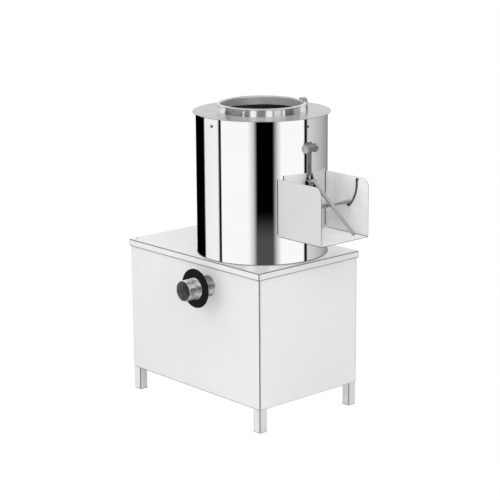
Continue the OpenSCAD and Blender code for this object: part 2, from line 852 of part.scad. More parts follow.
module motor_lower_shield() {
    color(motor_blue) at_motor() difference() {
        rod(motor_r - 2, lower_shield_z, stator_z);
        rod(shaft_r + slip, lower_shield_z - 1, stator_z + 1);
        rod(rotor_r, stator_z - 8, stator_z + 1);
    }
}

module motor_rotor() {
    color(dark_steel) at_motor() ring(rotor_r, shaft_r + slip, stator_z + 12, upper_shield_z - 12);
}

module motor_shaft() {
    color(zinc) at_motor() rod(shaft_r, fan_cover_z + 8, belt_z + 19);
}

module motor_fan() {
    color(black) at_motor() {
        difference() {
            union() {
                ring(16, shaft_r + slip, fan_cover_z + 8, lower_shield_z - 4);
                rod(motor_r - 12, lower_shield_z - 9, lower_shield_z - 6);
                for (i = [0:6]) rotate(360 / 7 * i)
                    block(14, motor_r - 12, -1.2, 1.2, fan_cover_z + 9, lower_shield_z - 8);
            }
            rod(shaft_r + slip, fan_cover_z, lower_shield_z);
        }
    }
}

// sheet cup over the fan, with ring slots in its bottom
module fan_cover() {
    color(motor_blue) at_motor() difference() {
        rod(motor_r + 0.4, fan_cover_z, stator_z - 2);
        rod(motor_r - 1.2, fan_cover_z + 1.5, stator_z - 1);
        for (row = [[22, 6], [36, 9], [50, 12]], i = [0:row[1] - 1]) rotate(360 / row[1] * i)
            translate([row[0], 0, 0]) rod(5, fan_cover_z - 1, fan_cover_z + 2);
    }
}

// terminal box on the front of the motor, with a spigot for its lead
module terminal_box() {
    box_y0 = lead_y - 14;
    box_y1 = -motor_r - fin_h - seat;
    wall = 2;
    color(dark_steel) at_motor() difference() {
        union() {
            block(-28, 28, box_y0, box_y1, stator_z + 20, terminal_z);
            translate([0, lead_y, 0]) rod(lead_r + 4, terminal_z - eps, terminal_z + 12);
        }
        block(-28 + wall, 28 - wall, box_y0 + wall, box_y1 - wall, stator_z + 20 + wall, terminal_z - wall);
        translate([0, lead_y, 0]) rod(lead_r + seat, terminal_z - wall - 1, terminal_z + 13);
    }
}

// lead from the starter box, through the left panel and down into the terminal box
module motor_lead() {
    color(black) at_drum() translate([motor_x, lead_y, 0]) {
        level_rod(cab_x0 - motor_x - 8, -lead_bend, 0, lead_z, lead_r);
        translate([-lead_bend, 0, lead_z]) mirror([0, 0, 1]) bend(lead_r, lead_bend, 90);
        rod(lead_r, terminal_z - 10, lead_z - lead_bend);
    }
}

// ---------- drain ----------

// pipe from the pan, round a bend and out through the front panel
module drain_pipe() {
    end_l = pipe_out - flange_out - flange_t / 2 - 0.35;    // turned end that takes the hose
    module bore(r, extra) {
        translate([pipe_x, drain_y, pipe_z + bend_r]) cylinder(r = r, h = table_h - pipe_z - bend_r + extra);
        translate([pipe_x, drain_y - bend_r, pipe_z + bend_r]) rotate([-90, 0, 90])
            rotate_extrude(angle = 90) translate([bend_r, 0]) circle(r = r);
        cross_rod(pipe_x, pipe_z, r, mouth_y - extra, drain_y - bend_r);
    }
    color(zinc) at_drum() difference() {
        bore(pipe_r, 0);
        bore(pipe_in, 1);
        difference() {
            cross_rod(pipe_x, pipe_z, pipe_r + 2, mouth_y - 1, mouth_y + end_l);
            cross_rod(pipe_x, pipe_z, pipe_r - 1, mouth_y - 2, mouth_y + end_l + 1);
        }
    }
}

module rubber_flange() {
    flange_y = cab_y0 - flange_out;
    color(black) at_drum() difference() {
        cross_rod(pipe_x, pipe_z, flange_d / 2, flange_y - flange_t / 2, flange_y + flange_t / 2);
        cross_rod(pipe_x, pipe_z, pipe_r + seat, flange_y - flange_t, flange_y + flange_t);
    }
}

// ---------- chute ----------

module chute() {
    back_x = drum_r - 40;
    wall_r = 8;                                // small round at the wall's lower corner on the drum
    wall_x0 = sqrt(pow(drum_r + seat, 2) - pow(chute_w / 2, 2));
    color(steel) at_drum() difference() {
        union() {
            block(back_x, chute_x1, -chute_w / 2, chute_w / 2, chute_z0, chute_floor);
            for (side = [-1, 1]) translate([0, side < 0 ? -chute_w / 2 : wall_in, 0]) difference() {
                block(back_x, chute_x1, 0, chute_t, chute_z0, chute_z1);
                difference() {
                    block(wall_x0 - 1, wall_x0 + wall_r, -1, chute_t + 1, chute_z0 - 1, chute_z0 + wall_r);
                    cross_rod(wall_x0 + wall_r, chute_z0 + wall_r, wall_r, -2, chute_t + 2);
                }
                difference() {
                    block(chute_x1 - chute_r, chute_x1 + 1, -1, chute_t + 1,
                        chute_z1 - chute_r, chute_z1 + 1);
                    cross_rod(chute_x1 - chute_r, chute_z1 - chute_r, chute_r, -2, chute_t + 2);
                }
            }
        }
        rod(drum_r + seat, chute_z0 - 1, chute_z1 + 1);
    }
}

// curved rails inside the chute walls: the bar slides up along them and drops into their toes
module hook_rails() {
    color(dark_steel) at_drum() translate([pivot_x, 0, pivot_h])
        for (y = [-wall_in, wall_in - hook_t]) {
            sector(hook_r0, hook_r1, -toe_angle, toe_angle + hook_top, y, y + hook_t);
            rotate([0, toe_angle, 0]) block(toe_r0, hook_r1, y, y + hook_t, -toe_t, eps);
            rotate([0, -hook_top, 0]) block(hook_r0, hook_r1 + pad_out, y, y + hook_t, -eps, pad_t);
        }
}

// ---------- door ----------

// curved base on the drum with two ears for the hinge bolt
module door_bracket() {
    base_t = 3;
    base_h = 32;
    color(dark_steel) at_drum() difference() {
        union() {
            intersection() {
                rod(drum_r + seat + base_t, hinge_h - base_h / 2, hinge_h + base_h / 2, $fn = 288);
                block(drum_r - 15, drum_r + 20, -ear_in - ear_t, ear_in + ear_t,
                    hinge_h - base_h, hinge_h + base_h);
            }
            for (y = [-ear_in - ear_t, ear_in]) {
                cross_rod(hinge_x, hinge_h, ear_r, y, y + ear_t);
                block(drum_r - 10, hinge_x, y, y + ear_t, hinge_h - ear_r, hinge_h + ear_r);
            }
        }
        rod(drum_r + seat, hinge_h - base_h, hinge_h + base_h, $fn = 288);
        cross_rod(hinge_x, hinge_h, hinge_d / 2 + 0.1, -ear_in - ear_t - 1, ear_in + ear_t + 1);
        cross_rod(hinge_x, hinge_h, hinge_out + 1, -ear_in, ear_in);
    }
}

// a hexagon bolt along Y with its nut, between the outer faces of what it holds
module cross_bolt(r, half, af, head_h, nut_h) {
    translate([0, -half, 0]) rotate([90, 30, 0]) hex(af, head_h);
    translate([0, half, 0]) rotate([-90, 30, 0]) hex(af, nut_h);
    rotate([-90, 0, 0]) translate([0, 0, -half - eps]) cylinder(r = r, h = 2 * half + nut_h + 2);
}

module hinge_bolt() {
    color(zinc) at_drum() translate([hinge_x, 0, hinge_h])
        cross_bolt(hinge_d / 2, ear_in + ear_t, 24, 8, 8);
}

// hinge sleeve with the flat arm that is welded to it and to the door
module door_arm() {
    arm_bottom = pivot_h + eye_r + 12;
    color(dark_steel) at_drum() difference() {
        union() {
            cross_rod(hinge_x, hinge_h, sleeve_r, -ear_in + 0.5, ear_in - 0.5);
            block(arm_x0, arm_x0 + arm_t, -arm_w / 2, arm_w / 2, arm_bottom, hinge_h);
            for (y = [-cheek_in - cheek_t, cheek_in]) difference() {
                union() {
                    cross_rod(pivot_x, pivot_h, eye_r + 2, y, y + cheek_t);
                    block(drum_r, pivot_x, y, y + cheek_t, pivot_h - eye_r - 2, arm_bottom + 6);
                }
                rod(door_out + seat, pivot_h - 30, arm_bottom + 10);
                translate([pivot_x, y - 1, pivot_h + eye_r + 2]) rotate([0, -18, 0])
                    cube([20, cheek_t + 2, 40]);
            }
            block(arm_x0, arm_x0 + arm_t - 2, -cheek_in - eps, cheek_in + eps, arm_bottom, arm_bottom + 6);
        }
        cross_rod(hinge_x, hinge_h, hinge_d / 2 + slip, -ear_in, ear_in);
        cross_rod(pivot_x, pivot_h, pivot_d / 2 + 0.1, -cheek_in - cheek_t - 1, cheek_in + cheek_t + 1);
    }
}

// stretch of a ring about the drum's axis, w wide, on the side of the chute
module curved_plate(r_in, r_out, w, z0, z1) {
    intersection() {
        ring(r_out, r_in, z0, z1);
        block(0, r_out + 1, -w / 2, w / 2, z0 - 1, z1 + 1);
    }
}

module door_panel() {
    color(steel) at_drum() curved_plate(door_in, door_out, door_w, door_bottom, door_top);
}

// rubber frame between the door and the edge of the opening
module door_gasket() {
    color(black) at_drum() difference() {
        curved_plate(gasket_in, gasket_out, door_w - 2, door_bottom + 1, door_top - 1);
        opening(1);
    }
}

// block on the inside of the door that closes the opening flush with the lining
module door_pad() {
    color(black) at_drum() {
        curved_plate(liner_in, drum_r, opening_w - 4, opening_z0 + 4, opening_z1 - 3);
        curved_plate(drum_r - 1, door_in - seat, opening_w - 30, opening_z0 + 14, opening_z1 - 14);
    }
}

module pivot_bolt() {
    color(zinc) at_drum() translate([pivot_x, 0, pivot_h])
        cross_bolt(pivot_d / 2, cheek_in + cheek_t, 17, 6, 6);
}

// ---------- handle ----------

// puts children in the handle's own plane: X along the rod, Z square to it, origin at the pivot
module at_handle() { at_drum() translate([pivot_x, 0, pivot_h]) rotate([0, rod_slope, 0]) children(); }

module handle_rod() {
    link_x0 = eye_r - 1;
    link_x1 = bar_along + 8;
    color(steel) at_handle() difference() {
        union() {
            cross_rod(0, 0, eye_r, -eye_w / 2, eye_w / 2);
            translate([rod_start, 0, rod_off]) rotate([0, 90, 0]) cylinder(r = rod_d / 2, h = rod_l);
            block(link_x0, link_x1, -link_t / 2, link_t / 2, bar_off + 3, rod_off - 1);
        }
        cross_rod(0, 0, pivot_d / 2 + slip, -eye_w, eye_w);
        cross_rod(bar_along, bar_off, rod_d / 2 + 0.1, -eye_w, eye_w);
    }
}

module handle_cross_bar() {
    color(steel) at_handle() cross_rod(bar_along, bar_off, rod_d / 2, -bar_half, bar_half);
}

// ---------- water inlet ----------

// quarter or part bend of a rod in the XZ plane, starting at the origin along +X and turning up
module bend(r, radius, turn) {
    translate([0, 0, radius]) rotate([90, 0, 0]) rotate([0, 0, -90])
        rotate_extrude(angle = turn) translate([radius, 0]) circle(r = r);
}

// the water tube's way: from the hose stub over the top plate to a ball elbow, up beside the collar
// and over its rim; extra lengthens both ends
module water_path(r, ball, extra) {
    rise = spout_z - tube_z;
    translate([inlet_x, inlet_y, tube_z]) {
        sphere(r = ball);
        rotate(run_angle) level_rod(0, stub_start + stub_l + extra, 0, 0, r);
        rotate(spout_angle + 180) {
            rod(r, 0, rise - tube_bend);
            translate([tube_bend, 0, rise]) mirror([1, 0, 0]) mirror([0, 0, 1]) bend(r, tube_bend, 90);
            level_rod(tube_bend, tube_bend + spout_l + extra, 0, rise, r);
        }
    }
}

module water_inlet() {
    bore_r = water_d / 2 - tube_t;
    color(steel) at_drum() difference() {
        union() {
            water_path(water_d / 2, elbow_r, 0);
            translate([inlet_x, inlet_y, tube_z]) rotate(run_angle)
                level_rod(stub_start, stub_start + stub_l, 0, 0, stub_d / 2);
        }
        water_path(bore_r, bore_r + 0.8, 1);
    }
}

// ---------- starter box ----------

// open box on the left panel, with the contact block inside and holes for the lead and the gland
module starter_box() {
    y0 = box_y - box_w / 2;
    y1 = box_y + box_w / 2;
    contact_x = box_x + lid_t + stem_l + press + 0.5;
    color([0.78, 0.78, 0.76]) at_drum() difference() {
        union() {
            difference() {
                block(box_x + lid_t, cab_x0, y0, y1, box_z, box_z + box_h);
                block(box_x + lid_t - 1, cab_x0 - box_wall, y0 + box_wall, y1 - box_wall,
                    box_z + box_wall, box_z + box_h - box_wall);
            }
            block(contact_x, cab_x0 - box_wall + eps, box_y - 18, box_y + 18, stop_z - 18, start_z + 18);
        }
        level_rod(cab_x0 - box_wall - 1, cab_x0 + 1, lead_y, lead_z, lead_r + hole_gap);
        translate([box_x + lid_t + 14, box_y, 0]) rod(gland_r + seat, box_z - 1, box_z + box_wall + 1);
    }
}

// cover with a plain hole for each button
module starter_cover() {
    color([0.78, 0.78, 0.76]) at_drum() difference() {
        block(box_x, box_x + lid_t, box_y - box_w / 2, box_y + box_w / 2, box_z, box_z + box_h);
        level_rod(box_x - 1, box_x + lid_t + 1, box_y, start_z, button_r + hole_gap);
        level_rod(box_x - 1, box_x + lid_t + 1, box_y, stop_z, stop_r + hole_gap);
    }
}

// push button: cap through the cover, and a collar behind the cover that keeps it in
module button(r, proud, z) {
    at_drum() {
        level_rod(box_x - proud, box_x + lid_t + stem_l, box_y, z, r);
        level_rod(box_x + lid_t + 0.3, box_x + lid_t + 0.3 + lip_t, box_y, z, r + collar_lip);
    }
}
module start_button() { color([0.10, 0.55, 0.25]) button(button_r, start_proud, start_z); }
module stop_button() { color([0.78, 0.10, 0.10]) button(stop_r, stop_proud, stop_z); }

// gland in the underside of the starter box, for a supply cable
module cable_gland() {
    color(black) at_drum() translate([box_x + lid_t + 14, box_y, box_z]) difference() {
        union() {
            rod(gland_r, gland_in - gland_l, gland_in);
            translate([0, 0, -6]) hex(24, 6 - 0.01);
            translate([0, 0, box_wall + 0.1]) hex(22, 4);
            rod(gland_r + 1.5, gland_in - gland_l, gland_in - gland_l + 8);
        }
        rod(gland_bore, gland_in - gland_l - 1, gland_in + 1);
    }
}

table_top();
front_panel();
right_panel();
left_panel();
back_panel();
leg_front_left();
leg_front_right();
leg_back_left();
leg_back_right();
foot_plugs();
frame_rails();
middle_rails();
sheet_screws();
drum_shell();
abrasive_liner();
top_plate();
loading_collar();
cover_screws();
drain_pan();
abrasive_disc();
disc_cap_nut();
spindle();
shaft_seal();
bearing_housing();
spindle_bearings();
m8_bolts();
driven_pulley();
v_belt();
motor_pulley();
motor_rails();
motor_plate();
motor_housing();
motor_stator();
motor_upper_shield();
motor_lower_shield();
motor_rotor();
motor_shaft();
motor_fan();
fan_cover();
terminal_box();
motor_lead();
drain_pipe();
rubber_flange();
chute();
hook_rails();
door_bracket();
hinge_bolt();
door_arm();
door_panel();
door_gasket();
door_pad();
pivot_bolt();
handle_rod();
handle_cross_bar();
water_inlet();
starter_box();
starter_cover();
start_button();
stop_button();
cable_gland();
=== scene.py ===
import bpy
import bmesh
import json
import math
import random
from mathutils import Matrix, Vector

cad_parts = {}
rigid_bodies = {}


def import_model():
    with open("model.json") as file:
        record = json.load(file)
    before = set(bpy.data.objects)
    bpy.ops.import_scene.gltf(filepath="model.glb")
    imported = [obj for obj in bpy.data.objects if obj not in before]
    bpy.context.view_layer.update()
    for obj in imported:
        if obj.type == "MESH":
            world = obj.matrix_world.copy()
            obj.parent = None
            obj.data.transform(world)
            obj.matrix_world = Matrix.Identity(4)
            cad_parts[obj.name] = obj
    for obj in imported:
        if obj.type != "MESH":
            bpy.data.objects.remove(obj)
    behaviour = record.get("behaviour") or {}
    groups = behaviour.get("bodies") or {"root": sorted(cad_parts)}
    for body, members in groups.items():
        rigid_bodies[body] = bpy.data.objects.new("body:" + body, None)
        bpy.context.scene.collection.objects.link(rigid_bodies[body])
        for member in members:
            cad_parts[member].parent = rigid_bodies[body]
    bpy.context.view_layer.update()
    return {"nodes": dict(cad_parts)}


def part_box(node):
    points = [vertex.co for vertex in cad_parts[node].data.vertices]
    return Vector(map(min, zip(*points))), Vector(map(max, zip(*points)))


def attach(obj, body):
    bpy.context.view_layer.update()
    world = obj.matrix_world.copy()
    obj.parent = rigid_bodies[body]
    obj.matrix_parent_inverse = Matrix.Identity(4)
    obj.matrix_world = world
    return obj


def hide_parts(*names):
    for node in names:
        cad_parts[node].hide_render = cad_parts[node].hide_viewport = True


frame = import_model()
nodes = frame["nodes"]

# ---------------------------------------------------------------------------------------------
# The studio: a pale floor, a long lens on the front right and soft light from all round. Dark and
# light strips stand far off round the machine, where only polished metal shows them.
drum_lo, drum_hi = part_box("drum_shell")
axis_x = (drum_lo.x + drum_hi.x) / 2
axis_y = (drum_lo.y + drum_hi.y) / 2

lens_x, lens_y, lens_z = 3.75349, -3.42592, 1.74993
yaw, pitch, roll = math.radians(48.0417), math.radians(13.8851), math.radians(-0.39607)
forward = Vector((-math.sin(yaw) * math.cos(pitch), math.cos(yaw) * math.cos(pitch), -math.sin(pitch)))
level = Vector((math.cos(yaw), math.sin(yaw), 0))
upright = level.cross(forward)
right = level * math.cos(roll) + upright * math.sin(roll)
up = upright * math.cos(roll) - level * math.sin(roll)
camera_data = bpy.data.cameras.new("camera")
camera_data.lens, camera_data.sensor_width = 122.18, 36
camera_data.clip_start, camera_data.clip_end = 0.1, 200
camera = bpy.data.objects.new("camera", camera_data)
camera.matrix_world = Matrix((
    (right.x, up.x, -forward.x, axis_x + lens_x),
    (right.y, up.y, -forward.y, axis_y + lens_y),
    (right.z, up.z, -forward.z, lens_z),
    (0, 0, 0, 1)))
bpy.context.scene.collection.objects.link(camera)
bpy.context.scene.camera = camera
bpy.context.scene.view_settings.view_transform = "Standard"

floor_mesh = bpy.data.meshes.new("floor")
floor_mesh.from_pydata([(-60, -60, 0), (60, -60, 0), (60, 60, 0), (-60, 60, 0)], [], [(0, 1, 2, 3)])
floor = bpy.data.objects.new("floor", floor_mesh)
bpy.context.scene.collection.objects.link(floor)
floor.visible_glossy = False
floor_paint = bpy.data.materials.new("floor_paint")
floor_paint.use_nodes = True
sweep = floor_paint.node_tree
sweep.nodes["Principled BSDF"].inputs["Base Color"].default_value = (0.93, 0.93, 0.93, 1)
sweep.nodes["Principled BSDF"].inputs["Roughness"].default_value = 0.9
white = sweep.nodes.new("ShaderNodeEmission")
bleached = sweep.nodes.new("ShaderNodeMixShader")
sweep.links.new(sweep.nodes.new("ShaderNodeLightPath").outputs["Is Camera Ray"], bleached.inputs[0])
sweep.links.new(sweep.nodes["Principled BSDF"].outputs[0], bleached.inputs[1])
sweep.links.new(white.outputs[0], bleached.inputs[2])
sweep.links.new(bleached.outputs[0], sweep.nodes["Material Output"].inputs["Surface"])
floor_mesh.materials.append(floor_paint)

world = bpy.data.worlds.new("studio")
bpy.context.scene.world = world
world.use_nodes = True
sky = world.node_tree
sky.nodes.clear()


def sky_node(kind, **settings):
    made = sky.nodes.new(kind)
    for key, value in settings.items():
        setattr(made, key, value)
    return made


def sky_math(operation, first, second=None, third=None):
    made = sky_node("ShaderNodeMath", operation=operation)
    for socket, value in zip(made.inputs, (first, second, third)):
        if isinstance(value, (int, float)):
            socket.default_value = value
        elif value is not None:
            sky.links.new(value, socket)
    return made.outputs[0]


# grey by turns round the machine, from the side away from the lens: on the floor, low down, and
# over the horizon
low_strips = (
    (0.000, 0.02), (0.060, 0.0), (0.150, 0.0), (0.166, 0.0), (0.174, 0.88), (0.262, 0.92), (0.271, 0.90),
    (0.278, 0.0), (0.289, 0.0), (0.293, 1.0), (0.432, 1.0), (0.458, 0.62), (0.476, 0.0), (0.553, 0.0),
    (0.575, 0.62), (0.594, 1.0), (0.715, 1.0), (0.7215, 0.0), (0.7335, 0.0), (0.741, 0.66), (0.800, 0.56),
    (0.880, 0.38), (0.960, 0.24), (1.000, 0.14))
floor_strips = tuple((turn, max(grey, 0.075) if 0.45 < turn < 0.58 else grey) for turn, grey in low_strips)
high_strips = (
    (0.000, 0.95), (0.189, 0.95), (0.200, 0.07), (0.242, 0.10), (0.250, 0.16), (0.300, 0.22), (0.361, 0.15),
    (0.365, 0.9), (0.372, 0.9), (0.375, 0.10), (0.414, 0.14), (0.420, 1.0), (0.458, 1.0), (0.467, 0.20),
    (0.528, 0.22), (0.533, 1.0), (0.575, 1.0), (0.579, 0.3), (0.589, 0.3), (0.593, 0.7), (0.639, 0.7),
    (0.644, 0.25), (0.653, 0.25), (0.657, 0.9), (0.669, 0.9), (0.678, 0.06), (0.750, 0.10), (0.758, 0.32),
    (0.828, 0.40), (0.844, 0.95), (1.000, 0.95))
direction = sky_node("ShaderNodeTexCoord").outputs["Generated"]
split = sky_node("ShaderNodeSeparateXYZ")
sky.links.new(direction, split.inputs[0])
lens_turn = math.atan2(lens_y, lens_x) / (2 * math.pi)
turn = sky_math("ARCTAN2", split.outputs["Y"], split.outputs["X"])
turn = sky_math("MULTIPLY_ADD", turn, 1 / (2 * math.pi), 0.5 - lens_turn)
turn = sky_math("FRACT", turn)


def strip_ramp(strips):
    ramp = sky_node("ShaderNodeValToRGB")
    first = ramp.color_ramp.elements[0]
    ramp.color_ramp.elements.remove(ramp.color_ramp.elements[1])
    first.position, first.color = strips[0][0], (strips[0][1],) * 3 + (1,)
    for place, grey in strips[1:]:
        ramp.color_ramp.elements.new(place).color = (grey,) * 3 + (1,)
    sky.links.new(turn, ramp.inputs[0])
    return ramp.outputs[0]


def by_height(start, end, below, above):
    """Goes from one colour to another as the direction rises from start to end."""
    over = sky_node("ShaderNodeMapRange", interpolation_type="SMOOTHSTEP")
    over.inputs["From Min"].default_value, over.inputs["From Max"].default_value = start, end
    sky.links.new(split.outputs["Z"], over.inputs["Value"])
    mix = sky_node("ShaderNodeMix", data_type="RGBA")
    sky.links.new(over.outputs[0], mix.inputs["Factor"])
    for socket, value in (("A", below), ("B", above)):
        if isinstance(value, float):
            mix.inputs[socket].default_value = (value, value, value, 1)
        else:
            sky.links.new(value, mix.inputs[socket])
    return mix.outputs["Result"]


strips_low = by_height(-0.236, -0.218, strip_ramp(floor_strips), strip_ramp(low_strips))
strips_all = by_height(-0.12, -0.04, strips_low, strip_ramp(high_strips))
lit_sky = by_height(0.30, 0.42, strips_all, 0.95)
ceiling = by_height(0.62, 0.80, lit_sky, 0.62)
ray = sky_node("ShaderNodeLightPath")
strips_seen = sky_node("ShaderNodeMix", data_type="RGBA")
strips_seen.inputs["A"].default_value = (0.84, 0.84, 0.84, 1)
sky.links.new(ray.outputs["Is Glossy Ray"], strips_seen.inputs["Factor"])
sky.links.new(ceiling, strips_seen.inputs["B"])
backdrop = sky_node("ShaderNodeMix", data_type="RGBA")
backdrop.inputs["B"].default_value = (1, 1, 1, 1)
sky.links.new(ray.outputs["Is Camera Ray"], backdrop.inputs["Factor"])
sky.links.new(strips_seen.outputs["Result"], backdrop.inputs["A"])
glow = sky_node("ShaderNodeBackground")
sky.links.new(backdrop.outputs["Result"], glow.inputs["Color"])
sky.links.new(glow.outputs[0], sky_node("ShaderNodeOutputWorld").inputs[0])

lamps = (("key_light", (-0.6, -3.6, 3.0), 4.0, 62), ("side_light", (3.3, -1.5, 2.6), 3.0, 78))
for name, place, size, power in lamps:
    lamp_data = bpy.data.lights.new(name, "AREA")
    lamp_data.size, lamp_data.energy = size, power
    lamp = bpy.data.objects.new(name, lamp_data)
    lamp.location = place
    lamp.rotation_euler = (Vector((0, 0, 0.5)) - Vector(place)).to_track_quat("-Z", "Y").to_euler()
    lamp.visible_glossy = False
    bpy.context.scene.collection.objects.link(lamp)

# ---------------------------------------------------------------------------------------------
# The table top: one stainless sheet, its edges folded down and the corners welded and ground.
# The sheet has a satin finish, faint cloudy marks of handling and a fine drawn grain.
MM = 0.001


def spans(node):
    """A frame node's box in millimetres, x and y counted from the drum's axis."""
    low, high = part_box(node)
    return ((low.x - axis_x) / MM, (high.x - axis_x) / MM, (low.y - axis_y) / MM,
            (high.y - axis_y) / MM, low.z / MM, high.z / MM)


def shader_group(name, inputs, outputs):
    """An empty shader group with number or colour sockets, and a short way to add its nodes."""
    group = bpy.data.node_groups.new(name, "ShaderNodeTree")
    for label, kind, value in inputs:
        socket = group.interface.new_socket(label, in_out="INPUT", socket_type="NodeSocket" + kind)
        if value is not None:
            socket.default_value = value
    for label, kind in outputs:
        group.interface.new_socket(label, in_out="OUTPUT", socket_type="NodeSocket" + kind)
    return group, group.nodes.new("NodeGroupInput").outputs, group.nodes.new("NodeGroupOutput").inputs


def placed(tree, kind, values=(), **settings):
    """Adds a node; values are (socket, a number or another node's socket)."""
    made = tree.nodes.new(kind)
    for key, value in settings.items():
        setattr(made, key, value)
    for socket, value in values:
        if isinstance(value, bpy.types.NodeSocket):
            tree.links.new(value, made.inputs[socket])
        else:
            made.inputs[socket].default_value = value
    return made


handled, g_in, g_out = shader_group(
    "handled_sheet",
    [("Vector", "Vector", None), ("Colour", "Color", (0.8, 0.8, 0.8, 1)), ("Cloud Size", "Float", 6.0),
     ("Cloud Depth", "Float", 0.05), ("Rough Low", "Float", 0.25), ("Rough High", "Float", 0.35)],
    [("Colour", "Color"), ("Roughness", "Float")])
cloud = placed(handled, "ShaderNodeTexNoise", [
    ("Vector", g_in["Vector"]), ("Scale", g_in["Cloud Size"]), ("Detail", 3.0), ("Roughness", 0.55)])
dark = placed(handled, "ShaderNodeMath", [(0, 1.0), (1, g_in["Cloud Depth"])], operation="SUBTRACT")
tone = placed(handled, "ShaderNodeMapRange", [
    ("Value", cloud.outputs[0]), ("From Min", 0.3), ("From Max", 0.7),
    ("To Min", dark.outputs[0]), ("To Max", 1.0)])
shade = placed(handled, "ShaderNodeVectorMath", [(0, g_in["Colour"]), ("Scale", tone.outputs[0])],
               operation="SCALE")
wiped = placed(handled, "ShaderNodeTexNoise", [("Vector", g_in["Vector"]), ("Scale", 31.0), ("Detail", 5.0)])
rough = placed(handled, "ShaderNodeMapRange", [
    ("Value", wiped.outputs[0]), ("From Min", 0.3), ("From Max", 0.7),
    ("To Min", g_in["Rough Low"]), ("To Max", g_in["Rough High"])])
handled.links.new(shade.outputs[0], g_out["Colour"])
handled.links.new(rough.outputs[0], g_out["Roughness"])

drawn, g_in, g_out = shader_group("drawn_grain", [("Vector", "Vector", None), ("Fine", "Float", 900.0)],
                                  [("Height", "Float")])
hair = placed(drawn, "ShaderNodeTexNoise", [
    ("Vector", g_in["Vector"]), ("Scale", g_in["Fine"]), ("Detail", 2.0)])
drawn.links.new(hair.outputs[0], g_out["Height"])


def sheet_metal(name, colour, rough_low, rough_high, cloud_depth, cloud_size, along=(1, 1, 1), fine=900.0,
                bump=0.0, metallic=1.0):
    """A metal with cloudy marks of handling and a drawn grain, squeezed by along. A grey is one number."""
    made = bpy.data.materials.new(name)
    made.use_nodes = True
    tree = made.node_tree
    skin = tree.nodes["Principled BSDF"]
    skin.inputs["Metallic"].default_value = metallic
    place = placed(tree, "ShaderNodeTexCoord").outputs["Object"]
    colour = (colour,) * 3 if isinstance(colour, float) else colour
    marks = placed(tree, "ShaderNodeGroup", node_tree=handled)
    for label, value in (("Colour", (*colour, 1)), ("Cloud Size", cloud_size), ("Cloud Depth", cloud_depth),
                         ("Rough Low", rough_low), ("Rough High", rough_high)):
        marks.inputs[label].default_value = value
    tree.links.new(place, marks.inputs["Vector"])
    tree.links.new(marks.outputs["Colour"], skin.inputs["Base Color"])
    tree.links.new(marks.outputs["Roughness"], skin.inputs["Roughness"])
    if bump:
        squeezed = placed(tree, "ShaderNodeMapping", [("Vector", place), ("Scale", along)])
        lines = placed(tree, "ShaderNodeGroup", node_tree=drawn)
        lines.inputs["Fine"].default_value = fine
        tree.links.new(squeezed.outputs[0], lines.inputs["Vector"])
        relief = placed(tree, "ShaderNodeBump", [("Height", lines.outputs[0]), ("Distance", bump)])
        tree.links.new(relief.outputs[0], skin.inputs["Normal"])
    return made


def softened(shape, sharp=35):
    """Smooth faces, with a sharp edge where the surface turns by more than sharp degrees."""
    for face in shape.faces:
        face.smooth = True
    for edge in shape.edges:
        edge.smooth = len(edge.link_faces) == 2 and edge.calc_face_angle(0) < math.radians(sharp)


def finished(name, shape, finish, body, stands_for=()):
    """Turns a mesh in millimetres about the drum's axis into a piece that rides on a body."""
    to_machine = Matrix.Translation((axis_x, axis_y, 0)) @ Matrix.Scale(MM, 4)
    bmesh.ops.transform(shape, matrix=to_machine, verts=shape.verts)
    softened(shape)
    mesh = bpy.data.meshes.new(name)
    shape.to_mesh(mesh)
    shape.free()
    for skin in finish if isinstance(finish, (list, tuple)) else [finish]:
        mesh.materials.append(skin)
    piece = bpy.data.objects.new(name, mesh)
    bpy.context.scene.collection.objects.link(piece)
    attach(piece, body)
    if stands_for:
        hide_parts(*stands_for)
    flats = piece.modifiers.new("flats", "WEIGHTED_NORMAL")
    flats.keep_sharp = True
    return piece


satin = sheet_metal("satin_sheet", 0.84, 0.34, 0.42, 0.03, 5.0, (0.02, 1, 1), 1500.0, 0.00001, metallic=0.45)
# painted shade: a darker copy of the steel laid on the rolled bends and cut edges of the sheets and the drum
# and on the legs' rounded corners, drawing a dark line along each
painted_edge_shade = sheet_metal("painted_edge_shade", 0.36, 0.26, 0.40, 0.20, 60.0, bump=0.00001)


def given_gauge(piece, gauge, edge=1):
    """Gives a sheet its thickness, inwards, before its shading is set; its cut edge takes the finish that
    edge places further on in its list, on most sheets a darker copy of the steel, painted shade.
    """
    thick = piece.modifiers.new("gauge", "SOLIDIFY")
    thick.thickness, thick.offset, thick.use_even_offset = gauge * MM, -1, True
    thick.material_offset_rim = edge
    piece.modifiers.move(len(piece.modifiers) - 1, 0)


def folded_sheet(name, box, open_side, fold, gauge, finish, stands_for, hemmed=False):
    """A sheet with its edges rolled back all round: a tray open on one side, its lip hemmed or plain."""
    x0, x1, y0, y1, z0, z1 = box
    tray = bmesh.new()
    bmesh.ops.create_cube(tray, size=1, matrix=Matrix.LocRotScale(
        ((x0 + x1) / 2, (y0 + y1) / 2, (z0 + z1) / 2), None, (x1 - x0, y1 - y0, z1 - z0)))
    back = Vector(open_side)
    if not hemmed:
        opened = [f for f in tray.faces if f.normal.dot(back) > 0.5]
        bmesh.ops.delete(tray, geom=opened, context="FACES_ONLY")
    inner_edges = [e for e in tray.edges if len(e.link_faces) == 2]
    rolled = bmesh.ops.bevel(tray, geom=inner_edges, offset=fold, segments=4, profile=0.5, affect="EDGES")
    # the rolled bends take the second finish, a painted shade along each fold
    for face in rolled["faces"]:
        face.material_index = 1
    if hemmed:
        opened = [f for f in tray.faces if f.normal.dot(back) > 0.999]
        bmesh.ops.delete(tray, geom=opened, context="FACES")
    piece = finished(name, tray, [finish, painted_edge_shade], "cabinet", stands_for)
    given_gauge(piece, gauge)
    return piece


gauge = 1.2
folded_sheet("folded_table", spans("table_top"), (0, 0, -1), 2.6, gauge, satin, ["table_top"], True)

